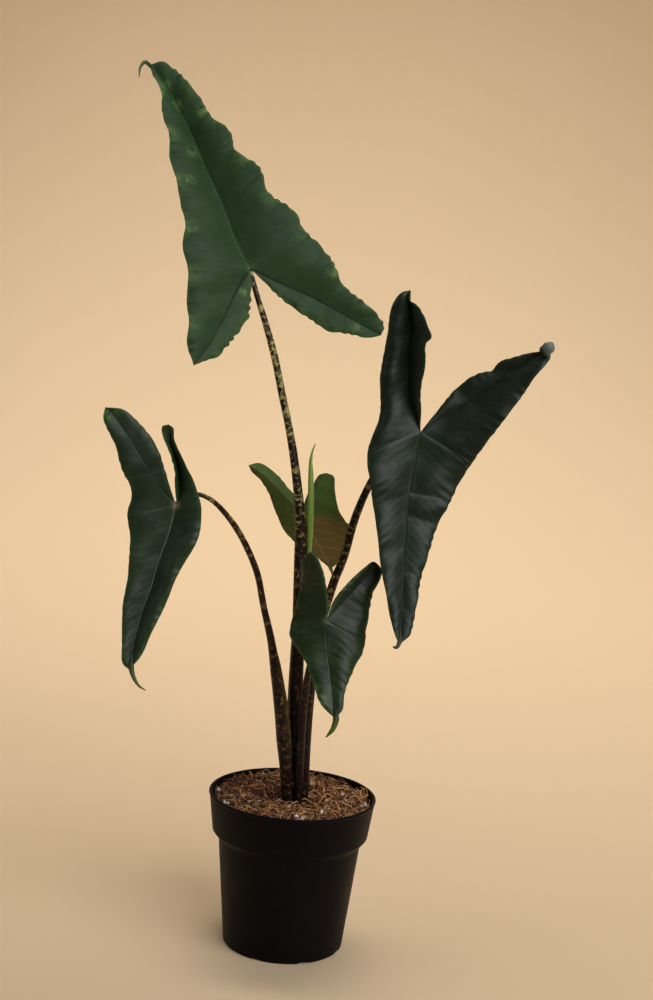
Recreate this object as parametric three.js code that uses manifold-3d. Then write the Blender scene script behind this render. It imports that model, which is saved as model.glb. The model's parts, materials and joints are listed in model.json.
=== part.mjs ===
// A tiger-stemmed alocasia in a black nursery pot.
//
// Five arrow-shaped leaves stand on long striped stalks. Each stalk swells into a sheath near the ground,
// and the sheaths nest round each other where they come out of a mix of coir and perlite. A rolled new leaf
// rises beside the tallest stalk. Units are millimetres, +Z is up, the origin is the middle of the pot's
// foot, and the plant's front looks towards -Y.

import * as THREE from "three";
import { mergeVertices } from "three/addons/utils/BufferGeometryUtils.js";
import Module from "manifold-3d";

const wasm = await Module();
wasm.setup();

// Driving dimensions
const RIM_RADIUS = 75;
const POT_HEIGHT = 138;
const FOOT_RADIUS = 54;
const WALL = 2;
const GAP = 0.35;
const BLADE = 0.9;

// The pot's other sizes
const COLLAR_HEIGHT = 36;
const COLLAR_STEP = 6;
const COLLAR_TAPER = 4.3;
const LIP = 1.6;
const SIDES = 40;
const FOOT_RAISE = 2;
const FOOT_WIDTH = 7;
const HUB_RADIUS = 12;
const DRAIN = { count: 8, radius: 4.5, ring: 34 };
const NOTCH = { count: 8, width: 10 };

// The soil's other sizes
const SOIL_TOP = POT_HEIGHT - 8;
const SOIL_RINGS = 8;
const PERLITE = { count: 26, small: 1.6, large: 3.1 };
const STALK_FOOT = SOIL_TOP - 15;
const FIBRES = { count: 18, radius: 0.55, length: 15 };

// A place is written [right, up, back]: millimetres to the viewer's right, up, and away from the viewer.
const place = ([right, up, back]) => new THREE.Vector3(right, back, up);

// Stalks, from below the soil to the blade: places on the centre line, each with the radius there.
const STALKS = {
  top: {
    points: [[6.3, 104, 4], [1.8, 158, 4], [-1.5, 190, 4], [-3.7, 222, 4.5], [-4.8, 258, 5],
      [-5.2, 285, 5.5], [-6.6, 313, 6], [-8.6, 348, 7], [-10, 375, 8], [-11.7, 391, 8.5], [-14.6, 409, 9],
      [-20, 437, 11], [-27, 466, 13], [-35, 494, 15], [-43, 523, 18], [-53, 552, 21], [-64, 580, 25],
      [-71, 600, 29], [-74, 608, 32]],
    radii: [5.4, 6.5, 7, 6.9, 6.3, 5.9, 5.6, 5.2, 4.9, 4.6, 4.1, 3.7, 3.3, 3.3, 3.2, 2.9, 2.4, 1.9, 1.2],
  },
  left: {
    points: [[-1.5, 104, -2], [-6.6, 160, -4], [-11.2, 188, -6], [-15.5, 215, -8], [-21.5, 245, -11],
      [-28.5, 279, -15], [-36.5, 309, -22], [-44, 340, -30], [-53, 361, -37], [-63, 379, -45],
      [-71, 390, -51], [-80, 400, -57], [-88, 406, -62], [-97, 409, -67], [-107, 406, -70],
      [-114, 400, -72]],
    radii: [5, 6.5, 6.7, 6.1, 4.9, 3.4, 2.9, 2.8, 2.7, 2.6, 2.4, 2.1, 1.9, 1.8, 1.7, 1.5],
  },
  right: {
    points: [[11.6, 104, 1], [9.4, 159, 1], [8.7, 196, 0], [9, 233, -1], [10, 261, -3], [13, 291, -6],
      [18, 314, -9], [23, 335, -11], [30, 358, -15], [37, 393, -20], [47.6, 425, -27], [60, 450, -36],
      [71, 465, -46], [80, 471, -53], [85, 473, -57.5]],
    radii: [3.8, 4.3, 4.3, 4.4, 4.3, 4.2, 4, 3.8, 3.6, 3.5, 3.1, 2.7, 2.3, 2, 1.7],
  },
  front: {
    points: [[7, 104, -6.5], [4.7, 162, -8], [4.2, 194, -9.5], [4.6, 227, -13], [6, 251, -19],
      [8.5, 271, -29], [11, 290, -45], [14, 304, -62], [17, 312, -77]],
    radii: [3.2, 3.8, 3.8, 3.5, 3, 2.5, 2.2, 1.9, 1.5],
  },
  back: {
    points: [[1.6, 104, 10.5], [-2.8, 183, 12], [-5.4, 238, 14], [-7.5, 292, 19], [-9, 336, 26],
      [-9.5, 364, 34], [-10, 379, 43], [-10.6, 384, 48]],
    radii: [3.4, 3.6, 3.4, 3.1, 2.7, 2.3, 1.9, 1.6],
  },
};

// The rolled new leaf, beside the tallest stalk where its sheath opens.
const SPEAR = {
  points: [[-3, 312, 8], [-2, 335, 9], [-1.3, 357, 10.5], [-2, 384, 11], [-3, 405, 12], [-4.4, 424, 13],
    [-5.4, 437, 14], [-4.5, 445, 15], [-2.3, 452, 15.5]],
  radii: [1.3, 2, 2.4, 2.7, 2.7, 2.3, 1.4, 0.8, 0.4],
};

// Leaves. Every place is an offset from the junction, where the stalk meets the blade. The ribs run from the
// junction to the tip and to the two lobe tips. Each outer margin runs from its lobe tip to the leaf tip, and
// its shoulder is the place where the first side vein from the junction meets it. The inner margins edge the
// cleft between the lobes. Tails are the drip tip and any lobe tip that is curled up into a roll, with their
// radii. Waves are [height, scallop, length, phase].
const LEAVES = {
  top: {
    junction: [-71, 601, 25],
    faces: [0.2, 0.3, -1],
    veins: [6, 3],
    waves: [2.6, 0, 43, 0.4],
    midrib: [[-13, 21, 8], [-30, 56, 16], [-46, 85, 20], [-63, 118, 24], [-81, 147, 25], [-95, 166, 25],
      [-102, 172, 25]],
    left: {
      rib: [[-9, -17, -6], [-18, -43, -19], [-30, -70, -33], [-40, -87, -44]],
      outer: [[-43, -77, -45], [-47, -62, -44], [-48, -44, -39], [-50, -25, -34], [-53, 0, -27],
        [-58, 19, -22], [-58, 32, -18], [-62, 53, -13], [-67, 63, -10], [-76, 96, -1], [-81, 115, 4],
        [-88, 142, 12], [-94, 156, 16]],
      shoulder: 5,
      inner: [[2, -13, -1], [2, -29, -3], [1, -44, -7], [-6, -56, -14], [-15, -70, -23], [-23, -79, -30],
        [-32, -83, -37]],
    },
    right: {
      rib: [[22, -9, 7], [56, -21, 13], [89, -36, 14], [120, -50, 15]],
      outer: [[122, -41, 15], [106, -24, 14], [84, -9, 12], [72, 12, 12], [58, 27, 12], [44, 38, 12],
        [35, 54, 12], [12, 67, 12], [1, 90, 14], [-21, 103, 16], [-27, 119, 18], [-45, 132, 20],
        [-59, 151, 22], [-77, 168, 25], [-90, 175, 25]],
      shoulder: 6,
      inner: [[11, -9, 5], [26, -22, 8], [42, -33, 10], [55, -40, 12], [71, -49, 13], [91, -51, 13],
        [110, -53, 14]],
    },
    tails: [
      {
        points: [[-92, 162, 25], [-100, 170, 25], [-105, 173, 20], [-108, 167, 12], [-108, 158, 7]],
        radii: [1, 1.7, 1.7, 1.1, 0.4],
      },
    ],
  },
  left: {
    junction: [-113, 400, -75],
    faces: [-0.2, 0.2, -1],
    veins: [5, 3],
    waves: [0.9, 0.3, 38, 0.2],
    midrib: [[-4, -22, 0], [-11, -47, -3], [-16, -70, -8], [-22, -92, -14], [-26, -118, -21],
      [-27, -136, -27]],
    left: {
      rib: [[-10, 10, -3], [-22, 26, -7], [-33, 42, -9], [-46, 60, -9], [-57, 73, -8], [-62, 77, -8]],
      outer: [[-63, 69, -9], [-53, 49, -11], [-46, 30, -10], [-37, 8, -5], [-39, -10, -5], [-36, -28, -7],
        [-35, -57, -11], [-37, -86, -18], [-35, -114, -24], [-33, -131, -27]],
      shoulder: 5,
      inner: [[-4, 10, -2], [-11, 29, -4], [-19, 48, -5], [-32, 64, -6], [-48, 76, -7]],
    },
    right: {
      rib: [[2, 13, 3], [-2, 32, 2], [-7, 48, -3], [-9, 67, -12]],
      outer: [[-5, 64, -10], [-4, 55, -9], [6, 36, -7], [18, 11, -5], [22, -5, -5], [20, -28, -8],
        [8, -52, -12], [-2, -81, -18], [-13, -109, -24], [-19, -124, -27]],
      shoulder: 4,
      inner: [[-1, 10, -4], [-3, 31, -10], [-9, 47, -12], [-13, 57, -12], [-14, 65, -12]],
    },
    tails: [
      {
        points: [[-26, -122, -23], [-26, -133, -27], [-23, -141, -30], [-18, -147, -33], [-12, -150, -35]],
        radii: [1, 2.4, 1.7, 1, 0.4],
      },
    ],
  },
  right: {
    junction: [85, 474, -60],
    faces: [0.1, 0.2, -1],
    veins: [6, 3],
    waves: [1.2, 0.3, 44, 0.5],
    midrib: [[-3, -17, -1], [-6, -45, -6], [-7, -75, -12], [-7, -102, -20], [-6, -129, -28],
      [-5, -153, -36], [-6, -172, -44]],
    left: {
      rib: [[-8, 18, 4], [-13, 38, 5], [-15, 67, 4], [-16, 90, 2], [-18, 116, -5]],
      outer: [[-26, 113, -7], [-32, 101, -6], [-34, 76, -1], [-37, 44, 1], [-35, 12, -1], [-43, -20, -10],
        [-39, -44, -16], [-32, -76, -22], [-24, -116, -31], [-17, -142, -38], [-11, -162, -42]],
      shoulder: 6,
      inner: [[-1, 14, -3], [-3, 36, -8], [-1, 58, -11], [-2, 73, -13], [2, 79, -15], [-2, 88, -13],
        [-6, 97, -11], [-11, 104, -9], [-18, 108, -8]],
    },
    right: {
      rib: [[23, 18, 4], [44, 33, 5], [66, 51, 2], [85, 67, -3], [100, 78, -7]],
      outer: [[101, 70, -10], [88, 50, -10], [76, 29, -9], [58, 0, -6], [44, -24, 0], [32, -49, -3],
        [20, -77, -10], [11, -110, -20], [6, -142, -31], [3, -163, -40]],
      shoulder: 5,
      inner: [[11, 16, 3], [27, 38, 6], [38, 48, 6], [47, 53, 5], [55, 55, 4], [58, 59, 4], [63, 64, 2],
        [73, 68, 0], [84, 72, -3], [93, 74, -6]],
    },
    tails: [
      {
        points: [[-6, -158, -38], [-6, -170, -43], [-8, -174, -45], [-11, -174, -44]],
        radii: [1, 1.9, 1.5, 0.6],
      },
      {
        points: [[92, 71, -10], [95, 74, -11], [99, 78, -11], [101, 81, -9]],
        radii: [1.5, 4.8, 5.2, 2.4],
      },
    ],
  },
  front: {
    junction: [18, 313, -80],
    faces: [0, 0.3, -1],
    veins: [4, 3],
    waves: [0.7, 0.3, 33, 0],
    midrib: [[2, -20, -4], [6, -41, -10], [10, -61, -18], [13, -76, -25]],
    left: {
      rib: [[-5, 15, -1], [-12, 35, -4], [-17, 58, -10]],
      outer: [[-22, 53, -5], [-24, 35, 3], [-24, 18, 7], [-29, -5, 8], [-27, -21, 4], [-15, -34, -5],
        [-7, -51, -13], [1, -66, -22]],
      shoulder: 4,
      inner: [[1, 13, -1], [-2, 30, -3], [-6, 44, -6], [-12, 55, -9]],
    },
    right: {
      rib: [[10, 12, 5], [23, 27, 10], [33, 40, 14], [40, 48, 17]],
      outer: [[44, 42, 18], [39, 26, 15], [35, 6, 11], [34, -18, 4], [27, -37, -6], [20, -54, -15],
        [19, -69, -22]],
      shoulder: 4,
      inner: [[6, 18, 4], [18, 34, 9], [29, 45, 13], [36, 50, 16]],
    },
    tails: [
      {
        points: [[12, -66, -21], [14, -76, -26], [12, -84, -29], [7, -91, -30]],
        radii: [0.5, 2.7, 2.1, 0.7],
      },
    ],
  },
  back: {
    junction: [-11, 386, 50],
    faces: [0, 0.6, 0.8],
    veins: [4, 3],
    waves: [0.8, 0.4, 34, 0.3],
    midrib: [[8, -16, 17], [18, -36, 38], [27, -53, 59], [31, -62, 71]],
    left: {
      rib: [[-12, 10, -2], [-27, 24, -3], [-42, 35, 0], [-51, 39, 2]],
      outer: [[-48, 34, 6], [-41, 27, 8], [-30, 11, 10], [-20, -14, 26], [-6, -35, 48], [13, -49, 64]],
      shoulder: 4,
      inner: [[-3, 9, 4], [-14, 21, 7], [-29, 35, 8], [-41, 41, 6]],
    },
    right: {
      rib: [[7, 12, -2], [14, 24, -2], [20, 37, 2]],
      outer: [[27, 34, 4], [29, 22, 5], [34, 3, 8], [46, -15, 26], [45, -36, 49], [38, -54, 65]],
      shoulder: 4,
      inner: [[3, 12, 4], [8, 24, 6], [13, 34, 6]],
    },
    tails: [
      {
        points: [[27, -54, 61], [31, -62, 71], [33, -68, 79], [34, -74, 85]],
        radii: [1, 1.8, 1.2, 0.5],
      },
    ],
  },
};

// Solids and meshes

function solidOf(geometry) {
  const bare = new THREE.BufferGeometry();
  bare.setAttribute("position", geometry.getAttribute("position"));
  bare.setIndex(geometry.index);
  const merged = mergeVertices(bare, 1e-4);
  const vertProperties = new Float32Array(merged.attributes.position.array);
  const triVerts = new Uint32Array(merged.index.array);
  return new wasm.Manifold(new wasm.Mesh({ numProp: 3, vertProperties, triVerts }));
}

function geometryOf(solid) {
  const mesh = solid.getMesh();
  const geometry = new THREE.BufferGeometry();
  geometry.setAttribute("position", new THREE.BufferAttribute(new Float32Array(mesh.vertProperties), 3));
  geometry.setIndex(new THREE.BufferAttribute(new Uint32Array(mesh.triVerts), 1));
  return geometry;
}

function indexed(vertices, faces) {
  const geometry = new THREE.BufferGeometry();
  const numbers = vertices.flatMap((vertex) => vertex.toArray());
  geometry.setAttribute("position", new THREE.Float32BufferAttribute(numbers, 3));
  geometry.setIndex(faces.flat());
  return geometry;
}

// The biggest body of a solid: a cut can leave a loose scrap.
function whole(solid) {
  return solid.decompose().reduce((big, body) => (body.volume() > big.volume() ? body : big));
}

// What is left of a solid beside another, with a gap between them.
function clearOf(solid, other, gap) {
  const nudges = [[gap, 0, 0], [-gap, 0, 0], [0, gap, 0], [0, -gap, 0], [0, 0, gap], [0, 0, -gap]];
  return whole(nudges.reduce((left, nudge) => left.subtract(other.translate(nudge)), solid));
}

// A repeatable random number from 0 to 1, from a seed.
function dice(seed) {
  let state = seed;
  return () => {
    state = (state * 1664525 + 1013904223) % 4294967296;
    return state / 4294967296;
  };
}

// Curves

const lineThrough = (places) => new THREE.CatmullRomCurve3(places.map(place));

// Places on a curve between two of its parameters, at the given fractions of the length between them.
function along(curve, from, to, fractions) {
  const STEPS = 160;
  const stops = [...Array(STEPS + 1).keys()].map((i) => THREE.MathUtils.lerp(from, to, i / STEPS));
  const fine = stops.map((stop) => curve.getPoint(THREE.MathUtils.clamp(stop, 0, 1)));
  const reach = [0];
  for (let i = 1; i <= STEPS; i++) reach.push(reach[i - 1] + fine[i].distanceTo(fine[i - 1]));
  return fractions.map((fraction) => {
    const want = fraction * reach[STEPS];
    let i = 1;
    while (i < STEPS && reach[i] < want) i++;
    const share = (want - reach[i - 1]) / Math.max(reach[i] - reach[i - 1], 1e-9);
    return fine[i - 1].clone().lerp(fine[i], Math.min(share, 1));
  });
}

// A tapered tube along a line. grow makes it that much fatter and longer, for cutting clearance.
function tube({ points, radii }, sides, steps, grow = 0) {
  const curve = lineThrough(points);
  const vertices = [];
  const faces = [];
  const radiusAt = (t) => {
    const spot = t * (radii.length - 1);
    const i = Math.min(Math.floor(spot), radii.length - 2);
    return THREE.MathUtils.lerp(radii[i], radii[i + 1], spot - i) + grow;
  };
  const frames = curve.computeFrenetFrames(steps, false);
  for (let i = 0; i <= steps; i++) {
    const t = curve.getUtoTmapping(i / steps);
    const past = i === 0 ? -grow : i === steps ? grow : 0;
    const centre = curve.getPoint(t).addScaledVector(curve.getTangent(t), past);
    const radius = radiusAt(t);
    for (let k = 0; k < sides; k++) {
      const angle = (k / sides) * Math.PI * 2;
      const deep = frames.normals[i].clone().multiplyScalar(Math.cos(angle) * radius);
      const broad = frames.binormals[i].clone().multiplyScalar(Math.sin(angle) * radius);
      vertices.push(centre.clone().add(deep).add(broad));
    }
  }
  for (let i = 0; i < steps; i++)
    for (let k = 0; k < sides; k++) {
      const a = i * sides + k;
      const b = i * sides + ((k + 1) % sides);
      faces.push([a, b, a + sides], [b, b + sides, a + sides]);
    }
  const start = vertices.push(curve.getPoint(0).addScaledVector(curve.getTangent(0), -grow)) - 1;
  const end = vertices.push(curve.getPoint(1).addScaledVector(curve.getTangent(1), grow)) - 1;
  const last = steps * sides;
  for (let k = 0; k < sides; k++) {
    const next = (k + 1) % sides;
    faces.push([start, next, k], [end, last + k, last + next]);
  }
  return solidOf(indexed(vertices, faces));
}

// Leaf blades

// Rows along a rib: one on each vein, one just beside it each way, and one midway to the next vein.
function rowsFor(veins) {
  const rows = [];
  for (let vein = 0; vein < veins; vein++)
    for (const share of [0, 0.14, 0.5, 0.86]) rows.push((vein + share) / veins);
  return [...rows, 1];
}

// The patches of one half of a leaf: in front of the junction, the lobe's outer side, and its inner side.
function patchesOf(leaf, half, sign) {
  const { rib, outer, shoulder, inner } = leaf[half];
  const junction = [0, 0, 0];
  const tip = leaf.midrib.at(-1);
  const lobeTip = rib.at(-1);
  const margin = lineThrough([lobeTip, ...outer, tip]);
  const turn = shoulder / (outer.length + 1);
  const midrib = lineThrough([junction, ...leaf.midrib]);
  const lobeRib = lineThrough([junction, ...rib]);
  const cleft = lineThrough([junction, ...inner, lobeTip]);
  const [frontVeins, lobeVeins] = leaf.veins;
  const front = rowsFor(frontVeins);
  const lobe = rowsFor(lobeVeins);
  const lobeSpine = along(lobeRib, 0, 1, lobe);
  return [
    { rows: front, spine: along(midrib, 0, 1, front), edge: along(margin, turn, 1, front), sign, travel: 1 },
    { rows: lobe, spine: lobeSpine, edge: along(margin, turn, 0, lobe), sign: -sign, travel: -1 },
    { rows: lobe, spine: lobeSpine, edge: along(cleft, 0, 1, lobe), sign, travel: 0 },
  ];
}

// Each half of a blade is divided from its rib to its margin: the rib's own width, then these shares.
const RIB_WIDTH = 3;
const ACROSS = [0.42, 0.75, 1];
const VEIN_DROP = 0.5;
const VEIN_RIDGE = 0.5;
const RIB_RIDGE = 1.5;
const RIB_TAPER = 0.75;
const ARCH = 0.28;
const CALM_WIDTH = 12;

// The blade as one sheet: its places, how far each is raised off the sheet, how thick the ribs make it
// below, and its triangles.
function sheetOf(leaf) {
  const sheet = { places: [], lift: [], ridge: [], faces: [] };
  const known = new Map();
  const [waveHeight, scallop, waveLength, phase] = leaf.waves;
  const vertex = (spot, lift, ridge) => {
    const key = spot.toArray().map((n) => Math.round(n * 1000)).join();
    if (!known.has(key)) {
      known.set(key, sheet.places.push(spot) - 1);
      sheet.lift.push(lift);
      sheet.ridge.push(ridge);
    }
    return known.get(key);
  };
  const patches = [...patchesOf(leaf, "left", 1), ...patchesOf(leaf, "right", -1)];
  for (const { rows, spine, edge, sign, travel } of patches) {
    let reach = 0;
    const grid = rows.map((row, i) => {
      if (i > 0) reach += edge[i].distanceTo(edge[i - 1]);
      const width = edge[i].distanceTo(spine[i]);
      const turns = (travel * reach) / waveLength + phase * (1 + sign * travel * 0.3);
      const wave = Math.sin(Math.PI * 2 * turns);
      const calm = Math.min(1, width / CALM_WIDTH);
      const onVein = travel !== 0 && i % 4 === 0 && row < 1;
      const first = THREE.MathUtils.clamp(RIB_WIDTH / Math.max(width, 1), 0.05, travel === 0 ? 0.5 : 0.28);
      const across = travel === 0 ? [0, first, 1] : [0, first, ...ACROSS];
      return across.map((v) => {
        const outward = v + (width > 1 ? (v * v * scallop * wave * calm) / width : 0);
        const spot = spine[i].clone().lerp(edge[i], outward);
        const fade = v > 0 && v < 1 ? 1 : 0;
        const arch = ARCH * width * v * (1 - v);
        const lift = arch + v * v * waveHeight * wave * calm - (onVein ? VEIN_DROP * fade : 0);
        const taper = 1 - RIB_TAPER * row;
        const ridge = v === 0 ? RIB_RIDGE * taper : onVein ? VEIN_RIDGE * fade * taper : 0;
        return vertex(spot, lift, ridge);
      });
    });
    for (let i = 0; i + 1 < rows.length; i++)
      for (let k = 0; k + 1 < grid[i].length; k++) {
        const [a, b, c, d] = [grid[i][k], grid[i + 1][k], grid[i + 1][k + 1], grid[i][k + 1]];
        for (const face of [[a, b, c], [a, c, d]])
          if (new Set(face).size === 3) sheet.faces.push(sign > 0 ? face : [...face].reverse());
      }
  }
  return sheet;
}

// The direction that the sheet faces at each place, evened out over its neighbours.
function normalsOf(places, faces) {
  let normals = places.map(() => new THREE.Vector3());
  for (const [a, b, c] of faces) {
    const one = places[b].clone().sub(places[a]);
    const two = places[c].clone().sub(places[a]);
    const normal = one.cross(two);
    for (const corner of [a, b, c]) normals[corner].add(normal);
  }
  for (let round = 0; round < 2; round++) {
    const even = normals.map((normal) => normal.normalize().clone());
    for (const face of faces)
      for (const corner of face) for (const other of face) even[corner].addScaledVector(normals[other], 0.25);
    normals = even;
  }
  return normals.map((normal) => normal.normalize());
}

// A blade with its thickness, its ribs raised below, and its drip tip.
function bladeOf(leaf) {
  const { places, lift, ridge, faces } = sheetOf(leaf);
  let normals = normalsOf(places, faces);
  const facing = normals.reduce((sum, normal) => sum.add(normal), new THREE.Vector3()).dot(place(leaf.faces));
  if (facing < 0) {
    faces.forEach((face) => face.reverse());
    normals = normals.map((normal) => normal.negate());
  }
  const raised = (spot, i, by) => spot.clone().addScaledVector(normals[i], lift[i] + by);
  const above = places.map((spot, i) => raised(spot, i, BLADE / 2));
  const below = places.map((spot, i) => raised(spot, i, -BLADE / 2 - ridge[i]));
  const count = places.length;
  const all = [...faces, ...faces.map(([a, b, c]) => [c + count, b + count, a + count])];
  const used = new Set(faces.flatMap(([a, b, c]) => [[a, b], [b, c], [c, a]].map((side) => side.join())));
  for (const [from, to] of [...used].map((side) => side.split(",").map(Number)))
    if (!used.has([to, from].join())) all.push([to, from, from + count], [to, from + count, to + count]);
  const blade = solidOf(indexed([...above, ...below], all));
  const tailed = leaf.tails.reduce((joined, tail) => joined.add(tube(tail, 6, 7)), blade);
  return whole(tailed).translate(place(leaf.junction).toArray());
}

// Pot and soil

// A turned solid from [radius, height] corners, listed from the axis round to the axis again.
function turned(corners) {
  const points = corners.map(([radius, height]) => new THREE.Vector2(radius, height));
  const lathe = new THREE.LatheGeometry(points, SIDES);
  lathe.rotateX(Math.PI / 2);
  return solidOf(lathe);
}

const COLLAR_FOOT = POT_HEIGHT - COLLAR_HEIGHT;
const COLLAR_RADIUS = RIM_RADIUS - LIP / 2 - COLLAR_TAPER;
const NECK_RADIUS = COLLAR_RADIUS - COLLAR_STEP;
const FLOOR = FOOT_RAISE + WALL;

// The pot's inside from the floor's middle up to the lip.
const insideOf = (inset) => [
  [0, FLOOR + inset],
  [FOOT_RADIUS - WALL - inset, FLOOR + inset],
  [NECK_RADIUS - WALL - inset, COLLAR_FOOT - COLLAR_STEP],
  [COLLAR_RADIUS - WALL - inset, COLLAR_FOOT],
];

function potOf() {
  let pot = turned([
    [0, 0],
    [HUB_RADIUS, 0],
    [HUB_RADIUS, FOOT_RAISE],
    [FOOT_RADIUS - FOOT_WIDTH, FOOT_RAISE],
    [FOOT_RADIUS - FOOT_WIDTH + 1, 0],
    [FOOT_RADIUS - 1, 0],
    [FOOT_RADIUS, 1],
    [NECK_RADIUS, COLLAR_FOOT - COLLAR_STEP],
    [COLLAR_RADIUS - 1, COLLAR_FOOT],
    [COLLAR_RADIUS, COLLAR_FOOT + 1],
    [RIM_RADIUS - LIP / 2, POT_HEIGHT - 3],
    [RIM_RADIUS, POT_HEIGHT - 2],
    [RIM_RADIUS, POT_HEIGHT - 0.7],
    [RIM_RADIUS - 0.8, POT_HEIGHT],
    [RIM_RADIUS - WALL, POT_HEIGHT],
    [RIM_RADIUS - WALL - 0.8, POT_HEIGHT - 1],
    ...insideOf(0).reverse(),
  ]);
  for (let i = 0; i < DRAIN.count; i++) {
    const hole = new THREE.CylinderGeometry(DRAIN.radius, DRAIN.radius, 4 * FLOOR, 12);
    hole.rotateX(Math.PI / 2).translate(DRAIN.ring, 0, 0);
    hole.rotateZ(((i + 0.5) / DRAIN.count) * Math.PI * 2);
    pot = pot.subtract(solidOf(hole));
  }
  for (let i = 0; i < NOTCH.count; i++) {
    const notch = new THREE.BoxGeometry(FOOT_WIDTH * 3, NOTCH.width, 2 * FOOT_RAISE - 0.4);
    notch.translate(FOOT_RADIUS - FOOT_WIDTH / 2, 0, 0);
    notch.rotateZ(((i + 0.5) / NOTCH.count) * Math.PI * 2);
    pot = pot.subtract(solidOf(notch));
  }
  return pot;
}

// How high the loose mix lies at a place: a dish with a heap at the back left and a hollow round the clump
// and to its right, covered in lumps of three sizes.
function soilHeight(x, y) {
  const heap = (cx, cy, high, wide) => high * Math.exp(-((x - cx) ** 2 + (y - cy) ** 2) / wide ** 2);
  const dish = 0.0004 * (x * x + y * y) + heap(-34, 32, 3, 30) - heap(4, 0, 2.6, 22) - heap(20, -3, 3, 7);
  const large = Math.sin(x * 0.21 + 1.3) * Math.cos(y * 0.24 - 0.6);
  const middling = 0.6 * Math.sin(x * 0.47 - y * 0.39 + 2.1);
  const small = 0.5 * Math.cos(x * 0.83 + y * 0.71);
  return SOIL_TOP + dish + large + middling + small;
}

function soilOf(cutters) {
  const corners = insideOf(GAP);
  const brim = COLLAR_RADIUS - WALL - GAP + ((SOIL_TOP - COLLAR_FOOT) / COLLAR_HEIGHT) * COLLAR_TAPER - 0.6;
  let soil = turned([...corners, [brim, SOIL_TOP - 4], [brim * 0.5, SOIL_TOP - 4], [0, SOIL_TOP - 4]]);
  soil = soil.add(crumbOf(brim - 0.4));
  const roll = dice(11);
  for (let i = 0; i < PERLITE.count; i++) {
    const angle = roll() * Math.PI * 2;
    const reach = 17 + Math.sqrt(roll()) * (brim - 25);
    const size = THREE.MathUtils.lerp(PERLITE.small, PERLITE.large, roll() ** 2);
    const [x, y] = [Math.cos(angle) * reach, Math.sin(angle) * reach];
    const grain = new THREE.IcosahedronGeometry(size, 0);
    grain.rotateX(roll() * 3).rotateY(roll() * 3).scale(1, 1, 0.8);
    grain.translate(x, y, soilHeight(x, y) + size * 0.25);
    soil = soil.add(solidOf(grain));
  }
  for (let i = 0; i < FIBRES.count; i++) {
    const angle = roll() * Math.PI * 2;
    const reach = 22 + Math.sqrt(roll()) * (brim - 38);
    const heading = roll() * Math.PI * 2;
    const [x, y] = [Math.cos(angle) * reach, Math.sin(angle) * reach];
    const bend = (roll() - 0.5) * 5;
    const rise = 1 + roll() * 2.2;
    const strand = [-0.5, -0.17, 0.17, 0.5].map((share) => {
      const far = share * FIBRES.length;
      const side = bend * (0.25 - share * share) * 2;
      const sx = x + Math.cos(heading) * far - Math.sin(heading) * side;
      const sy = y + Math.sin(heading) * far + Math.cos(heading) * side;
      return [sx, soilHeight(sx, sy) - 0.7 + rise * (1 - 4 * share * share), sy];
    });
    soil = soil.add(tube({ points: strand, radii: [1, 1, 1, 1].map(() => FIBRES.radius) }, 3, 4));
  }
  return whole(cutters.reduce((left, cutter) => left.subtract(cutter), soil));
}

// The lumpy top layer of the mix, as a round slab whose upper side follows soilHeight.
function crumbOf(radius) {
  const vertices = [new THREE.Vector3(0, 0, soilHeight(0, 0)), new THREE.Vector3(0, 0, SOIL_TOP - 6)];
  const faces = [];
  const ring = (i, k) => 2 + (i - 1) * SIDES + (k % SIDES);
  for (let i = 1; i <= SOIL_RINGS; i++)
    for (let k = 0; k < SIDES; k++) {
      const reach = radius * (i / SOIL_RINGS) ** 0.85;
      const angle = ((k + (i % 2) * 0.5) / SIDES) * Math.PI * 2;
      const [x, y] = [Math.cos(angle) * reach, Math.sin(angle) * reach];
      const slump = i === SOIL_RINGS ? 2 : 0;
      vertices.push(new THREE.Vector3(x, y, soilHeight(x, y) - slump));
    }
  const foot = vertices.length;
  for (let k = 0; k < SIDES; k++) {
    const last = vertices[ring(SOIL_RINGS, k)];
    vertices.push(new THREE.Vector3(last.x, last.y, SOIL_TOP - 6));
  }
  for (let k = 0; k < SIDES; k++) {
    const next = (k + 1) % SIDES;
    faces.push([0, ring(1, k), ring(1, next)], [1, foot + next, foot + k]);
    for (let i = 1; i < SOIL_RINGS; i++) {
      const [a, b, c, d] = [ring(i, k), ring(i + 1, k), ring(i + 1, next), ring(i, next)];
      if (i % 2) faces.push([a, b, d], [b, c, d]);
      else faces.push([a, b, c], [a, c, d]);
    }
    const [a, b] = [ring(SOIL_RINGS, k), ring(SOIL_RINGS, next)];
    faces.push([a, foot + k, b], [foot + k, foot + next, b]);
  }
  return solidOf(indexed(vertices, faces));
}

// Putting the pieces together

const plant = new THREE.Group();
const finish = (color, roughness) => new THREE.MeshStandardMaterial({ color, roughness });
const LEAF_GREEN = finish("#1f3d26", 0.42);
const YOUNG_GREEN = finish("#5f9a3c", 0.5);
const STALK_BROWN = finish("#2b1a12", 0.5);
const POT_BLACK = finish("#17181b", 0.45);
const COIR_BROWN = finish("#5e3a22", 0.95);

function put(name, solid, material) {
  const mesh = new THREE.Mesh(geometryOf(solid), material);
  mesh.name = name;
  plant.add(mesh);
}

const STALK_SIDES = 10;
const STEPS = { top: 26, left: 24, right: 20, front: 14, back: 14 };
const stalk = (name, grow = 0) =>
  tube(STALKS[name], STALK_SIDES, STEPS[name], grow).trimByPlane([0, 0, 1], STALK_FOOT - grow);
const spear = (grow = 0) => tube(SPEAR, 8, 14, grow);

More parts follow.
